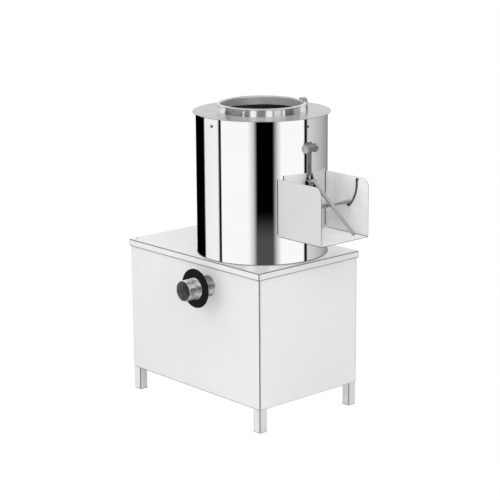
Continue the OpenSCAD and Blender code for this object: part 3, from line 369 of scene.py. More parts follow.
# ---------------------------------------------------------------------------------------------
# Everything that keeps its own shape from the frame gets eased edges and an even shade: the
# loose faces are joined, edges are broken by a few tenths of a millimetre, flats stay flat.
eased = bpy.data.node_groups.new("eased_shade", "GeometryNodeTree")
eased.interface.new_socket("Geometry", in_out="INPUT", socket_type="NodeSocketGeometry")
eased.interface.new_socket("Crease", in_out="INPUT", socket_type="NodeSocketFloat").default_value = 0.6
eased.interface.new_socket("Geometry", in_out="OUTPUT", socket_type="NodeSocketGeometry")
e_in, e_out = eased.nodes.new("NodeGroupInput"), eased.nodes.new("NodeGroupOutput")
bend = placed(eased, "GeometryNodeInputMeshEdgeAngle")
creased = placed(eased, "FunctionNodeCompare", [("A", bend.outputs[0]), ("B", e_in.outputs["Crease"])],
                 data_type="FLOAT", operation="LESS_EQUAL")
soft = placed(eased, "GeometryNodeSetShadeSmooth", [("Geometry", e_in.outputs[0]), ("Shade Smooth", True)],
              domain="FACE")
crisp = placed(eased, "GeometryNodeSetShadeSmooth",
               [("Geometry", soft.outputs[0]), ("Shade Smooth", creased.outputs[0])], domain="EDGE")
eased.links.new(crisp.outputs[0], e_out.inputs[0])


def dressed(names, finish, edge, steps=2, mirrored=True):
    """Frame nodes that are shown as they are, in their own finish."""
    for name in names:
        piece = nodes[name]
        piece.visible_glossy = mirrored
        piece.data.materials.clear()
        piece.data.materials.append(finish)
        joined = piece.modifiers.new("joined", "WELD")
        joined.merge_threshold = 0.00001
        if edge:
            broken = piece.modifiers.new("broken_edges", "BEVEL")
            broken.width, broken.segments = edge * MM, steps
            broken.limit_method, broken.angle_limit = "ANGLE", math.radians(40)
        piece.modifiers.new("shade", "NODES").node_group = eased
        piece.modifiers.new("flats", "WEIGHTED_NORMAL").keep_sharp = True


# ---------------------------------------------------------------------------------------------
# The cabinet: plain satin sheets between the legs, their edges rolled back. The back one is
# screwed on and has two columns of pressed louvres.
panel_satin = sheet_metal("panel_sheet", 0.81, 0.42, 0.52, 0.05, 3.0, (1, 1, 0.02), 1500.0, 0.00001,
                          metallic=0.35)
x0, x1, y0, y1, z0, z1 = spans("front_panel")
front_lap, front_fold, side_lap, side_fold = 3.2, 2.4, 3.0, 1.4
folded_sheet("front_sheet", (x0, x1, y0, y0 + front_lap, z0, z1), (0, 1, 0), front_fold, gauge, panel_satin,
             ["front_panel"])
sides_y0, sides_y1 = y0 + front_lap + 0.2, spans("right_panel")[3]
for side, edges, inward in (("right", (x1 - side_lap, x1), -1), ("left", (x0, x0 + side_lap), 1)):
    folded_sheet(side + "_sheet", (*edges, sides_y0, sides_y1, z0, z1), (inward, 0, 0), side_fold, gauge,
                 panel_satin, [side + "_panel"])
dressed(["back_panel"], panel_satin, 0.35)

# one small shape set on every spot of a piece, turned to face outwards there
set_out = bpy.data.node_groups.new("set_out", "GeometryNodeTree")
for label, kind in (("Geometry", "Geometry"), ("Pattern", "Object"), ("Finish", "Material"),
                    ("Size", "Float")):
    set_out.interface.new_socket(label, in_out="INPUT", socket_type="NodeSocket" + kind)
set_out.interface.new_socket("Geometry", in_out="OUTPUT", socket_type="NodeSocketGeometry")
s_in, s_out = set_out.nodes.new("NodeGroupInput").outputs, set_out.nodes.new("NodeGroupOutput").inputs
facing = placed(set_out, "GeometryNodeInputNamedAttribute", [("Name", "facing")], data_type="FLOAT_VECTOR")
scale = placed(set_out, "GeometryNodeInputNamedAttribute", [("Name", "scale")], data_type="FLOAT")
turned_out = placed(set_out, "FunctionNodeAlignRotationToVector", [("Vector", facing.outputs["Attribute"])],
                    axis="Z")
pattern = placed(set_out, "GeometryNodeObjectInfo", [("Object", s_in["Pattern"])])
sized = placed(set_out, "ShaderNodeMath", [(0, scale.outputs["Attribute"]), (1, s_in["Size"])],
               operation="MULTIPLY")
copies = placed(set_out, "GeometryNodeInstanceOnPoints",
                [("Points", s_in["Geometry"]), ("Instance", pattern.outputs["Geometry"]),
                 ("Rotation", turned_out.outputs[0]), ("Scale", sized.outputs[0])])
real = placed(set_out, "GeometryNodeRealizeInstances", [("Geometry", copies.outputs[0])])
skinned = placed(set_out, "GeometryNodeSetMaterial",
                 [("Geometry", real.outputs[0]), ("Material", s_in["Finish"])])
set_out.links.new(skinned.outputs[0], s_out[0])


def run_nodes(source, tree, values):
    """Runs a node tree over an object and gives back the plain mesh it makes."""
    made = source.modifiers.new("nodes", "NODES")
    made.node_group = tree
    for item in tree.interface.items_tree:
        if item.item_type == "SOCKET" and item.in_out == "INPUT" and item.name in values:
            made[item.identifier] = values[item.name]
    result = bpy.data.meshes.new_from_object(source.evaluated_get(bpy.context.evaluated_depsgraph_get()))
    bpy.data.objects.remove(source)
    return result


def set_pieces(name, spots, shape, finish, body, stands_for=(), sharp=35):
    """Puts a small shape in millimetres on every spot: (place, facing, scale) about the drum's axis."""
    softened(shape, sharp)
    bmesh.ops.scale(shape, vec=(MM,) * 3, verts=shape.verts)
    one = bpy.data.meshes.new(name + "_pattern")
    shape.to_mesh(one)
    shape.free()
    sample = bpy.data.objects.new(name + "_pattern", one)
    seats = bpy.data.meshes.new(name)
    seats.from_pydata([(axis_x + x * MM, axis_y + y * MM, z * MM) for (x, y, z), _, _ in spots], [], [])
    seats.attributes.new("facing", "FLOAT_VECTOR", "POINT")
    seats.attributes.new("scale", "FLOAT", "POINT")
    for i, (_, way, size) in enumerate(spots):
        seats.attributes["facing"].data[i].vector = way
        seats.attributes["scale"].data[i].value = size
    source = bpy.data.objects.new(name + "_seats", seats)
    for thing in (sample, source):
        bpy.context.scene.collection.objects.link(thing)
    mesh = run_nodes(source, set_out, {"Pattern": sample, "Finish": finish, "Size": 1.0})
    bpy.data.objects.remove(sample)
    piece = bpy.data.objects.new(name, mesh)
    bpy.context.scene.collection.objects.link(piece)
    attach(piece, body)
    if stands_for:
        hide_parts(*stands_for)
    return piece


x0, x1, y0, y1, z0, z1 = spans("back_panel")
slot_long, slot_high, hood_out, hood_seat = 74.0, 9.0, 3.4, 0.2
across, down = 28, 8


def hood_height(u, v):
    """How far the pressed hood stands out, u from end to end and v from its closed to its open side."""
    return hood_seat + hood_out * math.sin(math.pi / 2 * v) * min(1.0, 1.02 - abs(2 * u - 1) ** 6)


hood = bmesh.new()
net = [[hood.verts.new((slot_long * (u - 0.5), slot_high * (v - 0.5), hood_height(u, v)))
        for v in (k / down for k in range(down + 1))] for u in (i / across for i in range(across + 1))]
for i in range(across):
    for k in range(down):
        hood.faces.new((net[i][k], net[i + 1][k], net[i + 1][k + 1], net[i][k + 1]))
hood.normal_update()
bmesh.ops.solidify(hood, geom=hood.faces[:], thickness=0.8)
bmesh.ops.recalc_face_normals(hood, faces=hood.faces[:])
table_z, louvre_x, louvre_pitch, louvre_drop = spans("table_top")[5], 150.0, 16.0, 93.5
lowest_louvre = (z0 + table_z) / 2 - louvre_drop
louvre_spots = [(((x0 + x1) / 2 + side * louvre_x, y1, lowest_louvre + louvre_pitch * i), (0, 1, 0), 1.0)
                for side in (-1, 1) for i in range(8)]
set_pieces("louvre_hoods", louvre_spots, hood, panel_satin, "cabinet", sharp=50)

# ---------------------------------------------------------------------------------------------
# The legs: square stainless tube with rolled corners, hollow, welded to the frame's rails. A grey
# plastic plug is pressed into each foot.
tube_steel = sheet_metal("tube_steel", 0.84, 0.30, 0.42, 0.08, 20.0, (1, 1, 0.03), 1200.0, 0.00001,
                         metallic=0.55)


def quarter(steps):
    """The angles of a quarter turn, in equal steps."""
    return [math.pi / 2 * i / steps for i in range(steps + 1)]


def round_square(half, corner):
    """Corner points of a rounded square about the origin, anticlockwise."""
    points = []
    for i, (side, front) in enumerate(((1, 1), (-1, 1), (-1, -1), (1, -1))):
        points += [(side * (half - corner) + corner * math.cos(i * math.pi / 2 + a),
                    front * (half - corner) + corner * math.sin(i * math.pi / 2 + a)) for a in quarter(5)]
    return points


def hollow_bar(shape, outer, inner, ends, place):
    """Walls between two outlines, closed at both ends; place maps (x, y, z) to the machine."""
    rings = [[shape.verts.new(place(x, y, z)) for x, y in outline]
             for outline in (outer, inner) for z in ends]
    n = len(outer)
    for i in range(n):
        j = (i + 1) % n
        outside = shape.faces.new((rings[0][i], rings[0][j], rings[1][j], rings[1][i]))
        # the rounded corners take the second finish, on the legs a painted shade along each corner
        outside.material_index = int(i % (n // 4) != n // 4 - 1)
        shape.faces.new((rings[3][i], rings[3][j], rings[2][j], rings[2][i]))
        shape.faces.new((rings[0][j], rings[0][i], rings[2][i], rings[2][j]))
        shape.faces.new((rings[1][i], rings[1][j], rings[3][j], rings[3][i]))


corner, wall = 2.6, 1.5
for node in ("leg_front_left", "leg_front_right", "leg_back_left", "leg_back_right"):
    x0, x1, y0, y1, z0, z1 = spans(node)
    half = (x1 - x0) / 2
    leg = bmesh.new()
    hollow_bar(leg, round_square(half, corner), round_square(half - wall, corner - wall), (z0, z1),
               lambda x, y, z: ((x0 + x1) / 2 + x, (y0 + y1) / 2 + y, z))
    finished("tube_" + node, leg, [tube_steel, painted_edge_shade], "cabinet", [node])


def moulded(name, colour, roughness, grain=600.0, bump=0.0002, coat=0.0, worn=0.06):
    """A plastic, rubber or paint: the same marks as on the metals, fainter, and a fine moulded grain."""
    made = sheet_metal(name, colour, roughness - 0.05, roughness + 0.07, worn, 24.0, fine=grain, bump=bump,
                       metallic=0.0)
    made.node_tree.nodes["Principled BSDF"].inputs["Coat Weight"].default_value = coat
    return made


dressed(["foot_plugs"], moulded("foot_plastic", 0.42, 0.45), 0.3)

# ---------------------------------------------------------------------------------------------
# The frame inside: an upper and a lower ring of mild steel bar with rails between them, welded and
# painted grey. Two rails and a slotted plate carry the motor.
frame_paint = moulded("frame_paint", (0.20, 0.21, 0.22), 0.42, 250.0, 0.0003, 0.2, 0.15)
dressed(["frame_rails", "middle_rails", "motor_rails", "motor_plate"], frame_paint, 0.6)

# ---------------------------------------------------------------------------------------------
# The drum: one stainless sheet rolled round and mirror-polished, with the discharge opening
# cut into it. Its seam is welded and ground flush at the back.
mirror = sheet_metal("mirror_sheet", 0.95, 0.02, 0.04, 0.02, 7.0)
x0, x1, y0, y1, z0, z1 = spans("drum_shell")
drum_r, drum_wall = (x1 - x0) / 2, 1.5
half_opening, sill, lintel = 72.0, 590.0, 752.0
round_steps, opening_steps, seam_step = 260, 32, 93
edge_angle = math.asin(half_opening / drum_r)
columns = [edge_angle + (2 * math.pi - 2 * edge_angle) * i / round_steps for i in range(round_steps + 1)]
columns += [-edge_angle + 2 * edge_angle * i / opening_steps for i in range(1, opening_steps)]
rows = [z0, sill, lintel, z1]
drum = bmesh.new()
grid = [[drum.verts.new((drum_r * math.cos(a), drum_r * math.sin(a), z)) for z in rows] for a in columns]
for i, column in enumerate(grid):
    other = grid[(i + 1) % len(grid)]
    for k in range(3):
        if k != 1 or i < round_steps:
            skin = 2 if i == seam_step else 0
            drum.faces.new((column[k], other[k], other[k + 1], column[k + 1])).material_index = skin
ground_seam = sheet_metal("ground_seam", 0.90, 0.16, 0.24, 0.08, 60.0)
shell = finished("polished_drum", drum, [mirror, painted_edge_shade, ground_seam], "cabinet",
                 ["drum_shell"])
given_gauge(shell, drum_wall)

# ---------------------------------------------------------------------------------------------
# Where the drum meets the table top: a thin dark bead, run round the drum's
# foot and smoothed to a hollow, a painted contact shadow along the joint.
def turned(shape, profile, steps=256):
    """Turns a closed outline of (radius, height) round Z."""
    n = len(profile)
    rings = [[shape.verts.new((r * math.cos(a), r * math.sin(a), z)) for r, z in profile]
             for a in (2 * math.pi * i / steps for i in range(steps))]
    for i in range(steps):
        this, other = rings[i], rings[(i + 1) % steps]
        for k in range(n):
            m = (k + 1) % n
            shape.faces.new((this[k], other[k], other[m], this[m]))


# painted shadow: a near-black bead standing for the contact shadow at the drum's foot
contact_shadow_grey = moulded("contact_shadow_paint", 0.10, 0.5)
foot_z = spans("drum_shell")[4]
hollow = ((0.05, 0.05), (1.7, 0.05), (1.2, 0.7), (0.6, 1.3), (0.05, 1.8))
bead = bmesh.new()
turned(bead, [(drum_r + r, foot_z + z) for r, z in hollow], 200)
bmesh.ops.recalc_face_normals(bead, faces=bead.faces[:])
finished("drum_sealant", bead, contact_shadow_grey, "cabinet")

# ---------------------------------------------------------------------------------------------
# The abrasive lining and the pad in the door: rubber sheet with black grit bonded into it, glued to
# the steel. The pad closes the gap in the lining while the door is shut.
grit = moulded("black_grit", 0.085, 0.75, 420.0, 0.0016, 0.0, 0.35)
dressed(["abrasive_liner"], grit, 0.5)
dressed(["door_pad"], grit, 0.5, mirrored=False)

# ---------------------------------------------------------------------------------------------
# The cover of the drum: a satin ring plate with a skirt that fits inside the shell, and the loading
# collar in its hole, spun from sheet with a rolled rim and polished on the lathe.
def filleted(corners, steps):
    """A closed outline whose corners (x, y, radius) are rounded."""
    made = []
    for i, (x, y, r) in enumerate(corners):
        if not r:
            made.append((x, y))
            continue
        here = Vector((x, y))
        back = (Vector(corners[i - 1][:2]) - here).normalized()
        ahead = (Vector(corners[(i + 1) % len(corners)][:2]) - here).normalized()
        half = back.angle(ahead) / 2
        reach = r / math.tan(half)
        middle = here + (back + ahead).normalized() * (r / math.sin(half))
        first, last = here + back * reach - middle, here + ahead * reach - middle
        sweep = first.angle_signed(last)
        for k in range(steps + 1):
            spoke = first.copy()
            spoke.rotate(Matrix.Rotation(-sweep * k / steps, 2))
            made.append(tuple(middle + spoke))
    return made


plate_satin = sheet_metal("cover_sheet", 0.51, 0.20, 0.28, 0.05, 9.0, fine=1500.0, bump=0.00001)
x0, x1, y0, y1, z0, z1 = spans("top_plate")
plate_r, hole_r, skirt_out, skirt_in = (x1 - x0) / 2, 127.4, 198.3, 196.8
under = z1 - 2.0
cover = bmesh.new()
turned(cover, filleted([
    (hole_r, under, 0.3), (skirt_in, under, 0), (skirt_in, z0, 0.5), (skirt_out, z0, 0.5),
    (skirt_out, under, 0), (plate_r, under, 0.7), (plate_r, z1, 0.9), (hole_r, z1, 0.3)], 3))
finished("cover_plate", cover, plate_satin, "cabinet", ["top_plate"])

spun_steel = sheet_metal("spun_steel", 0.94, 0.15, 0.20, 0.04, 30.0)
skin = spun_steel.node_tree.nodes["Principled BSDF"]
skin.inputs["Anisotropic"].default_value = 0.9
skin.inputs["Anisotropic Rotation"].default_value = 0.25
lathe_marks = placed(spun_steel.node_tree, "ShaderNodeTangent", direction_type="RADIAL", axis="Z")
spun_steel.node_tree.links.new(lathe_marks.outputs[0], skin.inputs["Tangent"])
x0, x1, y0, y1, z0, z1 = spans("loading_collar")
rim_out, bore, foot, seat_z = (x1 - x0) / 2, 125.7, z0, z0 + 2
rim_half = (rim_out - bore) / 2
rim_z = z1 - rim_half
rim = [(bore + rim_half * (1 + math.cos(a)), rim_z + rim_half * math.sin(a))
       for a in (math.pi * i / 16 for i in range(17))]
collar = bmesh.new()
turned(collar, [
    (bore, foot), (bore + 1.5, foot), (bore + 1.5, rim_z - 0.6), (bore + 5.3, rim_z - 0.6),
    (bore + 7.7, seat_z), (bore + 9.2, seat_z), (bore + 6.9, rim_z - 1.6), (bore + 7.4, rim_z - 0.9),
    (rim_out - 0.4, rim_z - 0.6)] + rim)
for face in collar.faces:
    inside = max(math.hypot(v.co.x, v.co.y) for v in face.verts) < bore + 0.1
    on_rim = face.calc_center_median().z > rim_z - 0.5
    face.material_index = 1 if inside else 2 if on_rim else 0
bore_steel = sheet_metal("collar_bore", 0.90, 0.20, 0.26, 0.30, 9.0, metallic=0.62)
# painted shade: the rolled rim takes a darker copy of the spun steel, dimming its highlight
rim_painted_shade = sheet_metal("collar_rim_shade", 0.78, 0.16, 0.22, 0.10, 30.0)
finished("spun_collar", collar, [spun_steel, bore_steel, rim_painted_shade], "cabinet",
         ["loading_collar"])

# ---------------------------------------------------------------------------------------------
# Inside the drum: the drain pan, and the disc that turns over it, a grit-coated casting with
# waves on top, held down by a cap nut.
bright = sheet_metal("bright_steel", 0.66, 0.18, 0.30, 0.12, 40.0, bump=0.0001)
dressed(["drain_pan"], satin, 0.4)
disc_black = moulded("disc_coating", 0.13, 0.70, 420.0, 0.0012, 0.0, 0.30)
grain_grey = moulded("disc_grains", 0.26, 0.50, 420.0, 0.0004, 0.0, 0.50)
dressed(["abrasive_disc"], disc_black, 1.2)
dressed(["disc_cap_nut", "spindle", "m8_bolts", "motor_shaft"], bright, 0.4)
dressed(["spindle_bearings"], bright, 0)
dice = random.Random(7)
disc = nodes["abrasive_disc"]
to_disc = disc.matrix_world.inverted()
disc_out, above_disc, grain_count = spans("abrasive_disc")[1] - 3.0, 0.9, 2600
grains = []
while len(grains) < grain_count:
    r, a = disc_out * math.sqrt(dice.uniform(0.06, 1.0)), dice.uniform(0, 2 * math.pi)
    above = Vector((axis_x + r * math.cos(a) * MM, axis_y + r * math.sin(a) * MM, above_disc))
    hit, place, facing, _ = disc.ray_cast(to_disc @ above, to_disc.to_3x3() @ Vector((0, 0, -1)))
    if hit:
        place, facing = disc.matrix_world @ place, disc.matrix_world.to_3x3() @ facing
        grains.append((((place.x - axis_x) / MM, (place.y - axis_y) / MM, place.z / MM), tuple(facing),
                       dice.uniform(0.5, 1.3)))
grain = bmesh.new()
bmesh.ops.create_icosphere(grain, subdivisions=1, radius=1.2)
set_pieces("disc_grit", grains, grain, grain_grey, "spindle", sharp=10)

# ---------------------------------------------------------------------------------------------
# The drive under the drum: cast-iron pulleys and bearing housing, a V-belt, and a flanged motor
# with cooling fins, its paint blue. Its windings are bare copper.
casting = moulded("painted_casting", (0.16, 0.17, 0.19), 0.5, 180.0, 0.0006, 0.1, 0.2)
motor_paint = moulded("motor_paint", (0.10, 0.17, 0.25), 0.4, 220.0, 0.0004, 0.3, 0.12)
rubber = moulded("black_rubber", (0.022, 0.022, 0.023), 0.55, 350.0, 0.0003, 0.0, 0.2)
copper = sheet_metal("windings", (0.55, 0.28, 0.14), 0.35, 0.5, 0.2, 60.0, (1, 1, 12), 500.0, 0.0008)
dressed(["bearing_housing", "driven_pulley", "motor_pulley"], casting, 0.6)
dressed(["motor_housing", "motor_upper_shield", "motor_lower_shield", "fan_cover"], motor_paint, 0.4)
dressed(["motor_stator", "motor_rotor"], copper, 0.4)
dressed(["v_belt", "shaft_seal", "motor_lead"], rubber, 0)
dressed(["door_gasket"], rubber, 0, mirrored=False)
plug_plastic = moulded("plug_plastic", (0.035, 0.035, 0.038), 0.5)
dressed(["terminal_box"], plug_plastic, 0.5)
dressed(["motor_fan"], plug_plastic, 0)

# ---------------------------------------------------------------------------------------------
# The drain: a galvanised pipe that turns out through the front panel, its end turned down for the
# hose, and the black rubber flange pushed over it.
galvanised = sheet_metal("galvanised_pipe", (0.94, 0.94, 0.93), 0.14, 0.26, 0.66, 60.0, (1, 0.15, 1), 160.0,
                         0.0004, metallic=0.88)
# painted shade: the pipe's inner wall is a dark copy of its galvanised steel, standing in for the shade
# inside the bore
pipe_inside_painted_shade = sheet_metal("pipe_inside_painted_shade", (0.17, 0.18, 0.19), 0.35, 0.60, 0.80, 45.0, (1, 0.15, 1), 200.0,
                          0.0006, metallic=0.2)


def rings_along(shape, path, radii, sides):
    """Rings of points round a path, one at each of its points, all turned alike."""
    way = [(Vector(path[min(i + 1, len(path) - 1)]) - Vector(path[max(i - 1, 0)])).normalized()
           for i in range(len(path))]
    side = way[0].orthogonal().normalized()
    rings = []
    for point, along, radius in zip(path, way, radii):
        side = (side - along * side.dot(along)).normalized()
        other = along.cross(side)
        rings.append([shape.verts.new(Vector(point) + (side * math.cos(2 * math.pi * i / sides)
                                                       + other * math.sin(2 * math.pi * i / sides)) * radius)
                      for i in range(sides)])
    return rings


def bridged(shape, one, two, skin=0):
    """Joins two rings of points with a band of faces."""
    n = len(one)
    for i in range(n):
        shape.faces.new((one[i], one[(i + 1) % n], two[(i + 1) % n], two[i])).material_index = skin


def swept_bar(shape, path, radii, sides):
    """A round bar along a path, closed at both ends."""
    rings = rings_along(shape, path, radii, sides)
    for one, two in zip(rings, rings[1:]):
        bridged(shape, one, two)
    shape.faces.new(rings[0][::-1])
    shape.faces.new(rings[-1])


x0, x1, y0, y1, z0, z1 = spans("drain_pipe")
pipe_x, pipe_z, drop_y, wall, bend_r = -19.0, 415.0, -125.0, 2.5, 55.0
pipe_out_r = y1 - drop_y
route = [(pipe_x, drop_y, z) for z in (z1, pipe_z + bend_r + 6)]
route += [(pipe_x, drop_y - bend_r * (1 - math.cos(a)), pipe_z + bend_r * (1 - math.sin(a)))
          for a in quarter(16)]
route += [(pipe_x, y, pipe_z) for y in (-200.0, -258.7, -259.1, -280.0, y0 + 0.5, y0)]
outer = [pipe_out_r] * (len(route) - 4) + [pipe_out_r - 1] * 3 + [pipe_out_r - 1.5]
inner = [pipe_out_r - wall] * len(route)
pipe = bmesh.new()
walls = [rings_along(pipe, route, radii, 96) for radii in (outer, inner)]
for k in range(len(route) - 1):
    bridged(pipe, walls[0][k], walls[0][k + 1])
    bridged(pipe, walls[1][k + 1], walls[1][k], 1)
bridged(pipe, walls[0][-1], walls[1][-1])
bridged(pipe, walls[1][0], walls[0][0])
finished("bent_drain_pipe", pipe, [galvanised, pipe_inside_painted_shade], "cabinet", ["drain_pipe"])

soft_black = moulded("flange_rubber", 0.004, 0.62, 350.0, 0.0002, 0.0, 0.3)
soft_black.node_tree.nodes["Principled BSDF"].inputs["Specular IOR Level"].default_value = 0.15
x0, x1, y0, y1, z0, z1 = spans("rubber_flange")
flange_in, flange_out, thick = pipe_out_r + 0.15, (x1 - x0) / 2, y1 - y0
flange = bmesh.new()
turned(flange, filleted([(flange_in, 0, 0.6), (flange_out, 0, 1.3), (flange_out, thick, 1.3),
                         (flange_in, thick, 0.6)], 4), 144)
on_pipe = Matrix.Translation((pipe_x, y1, pipe_z)) @ Matrix.Rotation(math.pi / 2, 4, "X")
bmesh.ops.transform(flange, matrix=on_pipe, verts=flange.verts)
finished("pushed_on_flange", flange, soft_black, "cabinet", ["rubber_flange"])

# ---------------------------------------------------------------------------------------------
# The chute: one sheet bent to a floor and two side walls, their outer corners rounded, its rear
# edge cut to the drum's curve and joined to it with a fine weld bead.
# one sheet in two copies of its steel: a darker one outside, painted shade, and a lighter one inside, painted
# light
chute_outside_painted_shade = sheet_metal("chute_outside_shade", 0.65, 0.42, 0.46, 0.06, 7.0, metallic=0.30)
chute_inside_painted_light = sheet_metal("chute_inside_painted_light", 0.93, 0.34, 0.38, 0.16, 14.0, metallic=0.15)
x0, x1, y0, y1, z0, z1 = spans("chute")
half, corner, bend_in, foot_r = (y1 - y0) / 2, 25.0, 3.0, 8.0
corner_rows, wall_rows, bend_rows = 12, 6, 5
side_wall = [(-half, z1 - corner * (1 - math.cos(a))) for a in quarter(corner_rows)]
side_wall += [(-half, z1 - corner - (z1 - corner - z0 - bend_in) * i / wall_rows)
              for i in range(1, wall_rows + 1)]
side_wall += [(-half + bend_in * (1 - math.cos(a)), z0 + bend_in * (1 - math.sin(a)))
              for a in quarter(bend_rows)[1:]]
section = side_wall + [(-half + bend_in + (half - bend_in) * 2 * i / 16, z0) for i in range(1, 16)]
section += [(-y, z) for y, z in reversed(side_wall)]
sheet = bmesh.new()
lines = []
for y, z in section:
    low = max(0.0, z0 + foot_r - z)
    side = min(1.0, max(0.0, (abs(y) - half + bend_in) / bend_in))
    start = math.sqrt((drum_r + 0.4) ** 2 - y * y) + side * (foot_r - math.sqrt(foot_r ** 2 - low ** 2))
    over = max(0.0, z - (z1 - corner))
    end = x1 - corner + math.sqrt(corner ** 2 - over ** 2)
    lines.append([sheet.verts.new((start + (end - start) * i / 10, y, z)) for i in range(11)])
# faces on the two bends take the fourth finish, the painted edge shade along each fold
for k, (one, two) in enumerate(zip(lines, lines[1:])):
    from_lip = min(k, len(lines) - 2 - k) - corner_rows - wall_rows
    bent_here = 0 <= from_lip < bend_rows
    for i in range(10):
        sheet.faces.new((one[i], two[i], two[i + 1], one[i + 1])).material_index = 3 * bent_here
# painted shade: the chute's cut edges take a near-black copy of the steel
painted_cut_edge_shade = sheet_metal("painted_cut_edge_shade", 0.16, 0.35, 0.50, 0.25, 60.0)
bent = finished("bent_chute", sheet, [chute_outside_painted_shade, painted_cut_edge_shade, chute_inside_painted_light, painted_edge_shade], "cabinet",
                ["chute"])
given_gauge(bent, 1.5)
# the inner faces take the lighter copy, painted light
bent.modifiers[0].material_offset = 2
bent.visible_glossy = False

weld_grey = sheet_metal("weld_grey", 0.10, 0.35, 0.50, 0.35, 220.0, fine=500.0, bump=0.0004)
bead = bmesh.new()
for side in (-1, 1):
    for y, clear in ((side * (half + 0.5), 0.0), (side * (half - 2.0), 2.0)):
        out = math.sqrt((drum_r + 1.0) ** 2 - y * y) + clear
        seam = [(out, y, z0 + foot_r + (z1 - 1 - z0 - foot_r) * i / 60) for i in range(61)]
        swept_bar(bead, seam, [1.35 + 0.15 * (i % 2) for i in range(61)], 8)
finished("chute_welds", bead, weld_grey, "cabinet").visible_glossy = False

# ---------------------------------------------------------------------------------------------
# The door: a curved plate on a welded arm. It hangs on a hexagon bolt through two ears on the
# drum; the handle turns on a second bolt and its cross bar drops into hooks in the chute.
door_satin = sheet_metal("door_sheet", 0.75, 0.34, 0.38, 0.05, 8.0, metallic=0.55)
dull_steel = sheet_metal("dull_steel", 0.37, 0.26, 0.38, 0.35, 60.0, fine=400.0, bump=0.00024)
hook_steel = sheet_metal("hook_steel", 0.24, 0.26, 0.40, 0.30, 60.0, fine=400.0, bump=0.00024)
x0, x1, y0, y1, z0, z1 = spans("door_panel")
reach = math.asin((y1 - y0) / 2 / x1)
door = bmesh.new()
posts = [[door.verts.new((x1 * math.cos(a), x1 * math.sin(a), z0 + (z1 - z0) * k / 4)) for k in range(5)]
         for a in (reach * (i / 24 - 1) for i in range(49))]
for one, two in zip(posts, posts[1:]):
    for k in range(4):
        door.faces.new((one[k], two[k], two[k + 1], one[k + 1]))
curved = finished("curved_door", door, door_satin, "door", ["door_panel"])
given_gauge(curved, 2.0, 0)
curved.visible_glossy = False
dressed(["door_bracket", "door_arm"], dull_steel, 0.6, 2, False)
dressed(["hook_rails"], hook_steel, 0, mirrored=False)
rod_steel = sheet_metal("rod_steel", 0.62, 0.05, 0.10, 0.12, 50.0)
bar_steel = sheet_metal("bar_steel", 0.54, 0.18, 0.26, 0.20, 50.0)
dressed(["handle_rod"], rod_steel, 0.8, 3)
dressed(["water_inlet"], rod_steel, 0)
dressed(["handle_cross_bar"], bar_steel, 0.8, 3)


def hexagon(shape, across, height, place):
    """A hexagon head or nut with its corners chamfered, standing on Z before it is placed."""
    half, steps = across / 2, 72
    foot, shoulder, face = [], [], []
    for i in range(steps):
        a = 2 * math.pi * i / steps
        out = half / math.cos(a % (math.pi / 3) - math.pi / 6)
        flat = min(out, half * 0.97)
        chamfer = (out - flat) * 0.58
        for ring, r, z in ((foot, out, 0.0), (shoulder, out, height - chamfer), (face, flat, height)):
            ring.append(shape.verts.new(place @ Vector((r * math.cos(a), r * math.sin(a), z))))
    bridged(shape, foot, shoulder)
    bridged(shape, shoulder, face)
    shape.faces.new(face)
    shape.faces.new(foot[::-1])


bolt_zinc = sheet_metal("bolt_zinc", 0.64, 0.16, 0.30, 0.25, 90.0, fine=700.0, bump=0.00008)
tail, pitches, threaded_from = 2.0, 40, 32
for node, body, across, high, thread in (("hinge_bolt", "cabinet", 24.0, 8.0, 16.0),
                                         ("pivot_bolt", "door", 17.0, 6.0, 10.0)):
    x0, x1, y0, y1, z0, z1 = spans(node)
    mid_x, mid_z = (x0 + x1) / 2, (z0 + z1) / 2
    bolt = bmesh.new()
    for y, side in ((y0 + high, 1), (y1 - tail - high, -1)):
        hexagon(bolt, across, high, Matrix.Translation((mid_x, y, mid_z))
                @ Matrix.Rotation(math.radians(30), 4, "Y") @ Matrix.Rotation(side * math.pi / 2, 4, "X"))
    rod = [(mid_x, y0 + high + (y1 - y0 - high) * i / pitches, mid_z) for i in range(pitches + 1)]
    radii = [thread / 2 - (0.5 if i % 2 and i > threaded_from else 0.02) for i in range(pitches)]
    swept_bar(bolt, rod, radii + [thread / 2 - 0.82], 32)
    hexagon_bolt = finished(node.replace("_", "_hexagon_"), bolt, bolt_zinc, body, [node])
    hexagon_bolt.visible_glossy = False

# ---------------------------------------------------------------------------------------------
# Pan-head screws: six hold the back panel and two the table top, and four hold the drum's cover.
# Each head has a cross recess.
# painted shade: the screw heads are a dark grey copy of plated steel, so that they show as dark dots
screw_shade_grey = sheet_metal("screw_shade_grey", 0.22, 0.25, 0.40, 0.25, 90.0)


def carved(shape, tool):
    """Cuts one closed shape out of another."""
    pair = []
    for source in (shape, tool):
        mesh = bpy.data.meshes.new("cutting")
        source.to_mesh(mesh)
        source.free()
        pair.append(bpy.data.objects.new("cutting", mesh))
        bpy.context.scene.collection.objects.link(pair[-1])
    cut = pair[0].modifiers.new("cut", "BOOLEAN")
    cut.operation, cut.solver, cut.object = "DIFFERENCE", "EXACT", pair[1]
    left = bpy.data.meshes.new_from_object(pair[0].evaluated_get(bpy.context.evaluated_depsgraph_get()))
    result = bmesh.new()
    result.from_mesh(left)
    for piece in pair:
        bpy.data.objects.remove(piece)
    return result


def pan_head(radius, high, shank, length):
    """A screw with a domed head and a cross recess, its shank going down from the head's foot."""
    head = bmesh.new()
    dome = [(radius * math.cos(a), high * (0.45 + 0.55 * math.sin(a))) for a in quarter(6)[:-1]]
    turned(head, [(0, -length), (shank, -length), (shank, 0), (radius, 0)] + dome + [(0, high)], 32)
    bmesh.ops.remove_doubles(head, verts=head.verts, dist=0.001)
    recess = bmesh.new()
    for long, wide in ((radius * 1.15, 1.1), (1.1, radius * 1.15)):
        bar = Matrix.LocRotScale((0, 0, high), None, (long, wide, high * 0.9))
        bmesh.ops.create_cube(recess, size=1, matrix=bar)
    return carved(head, recess)


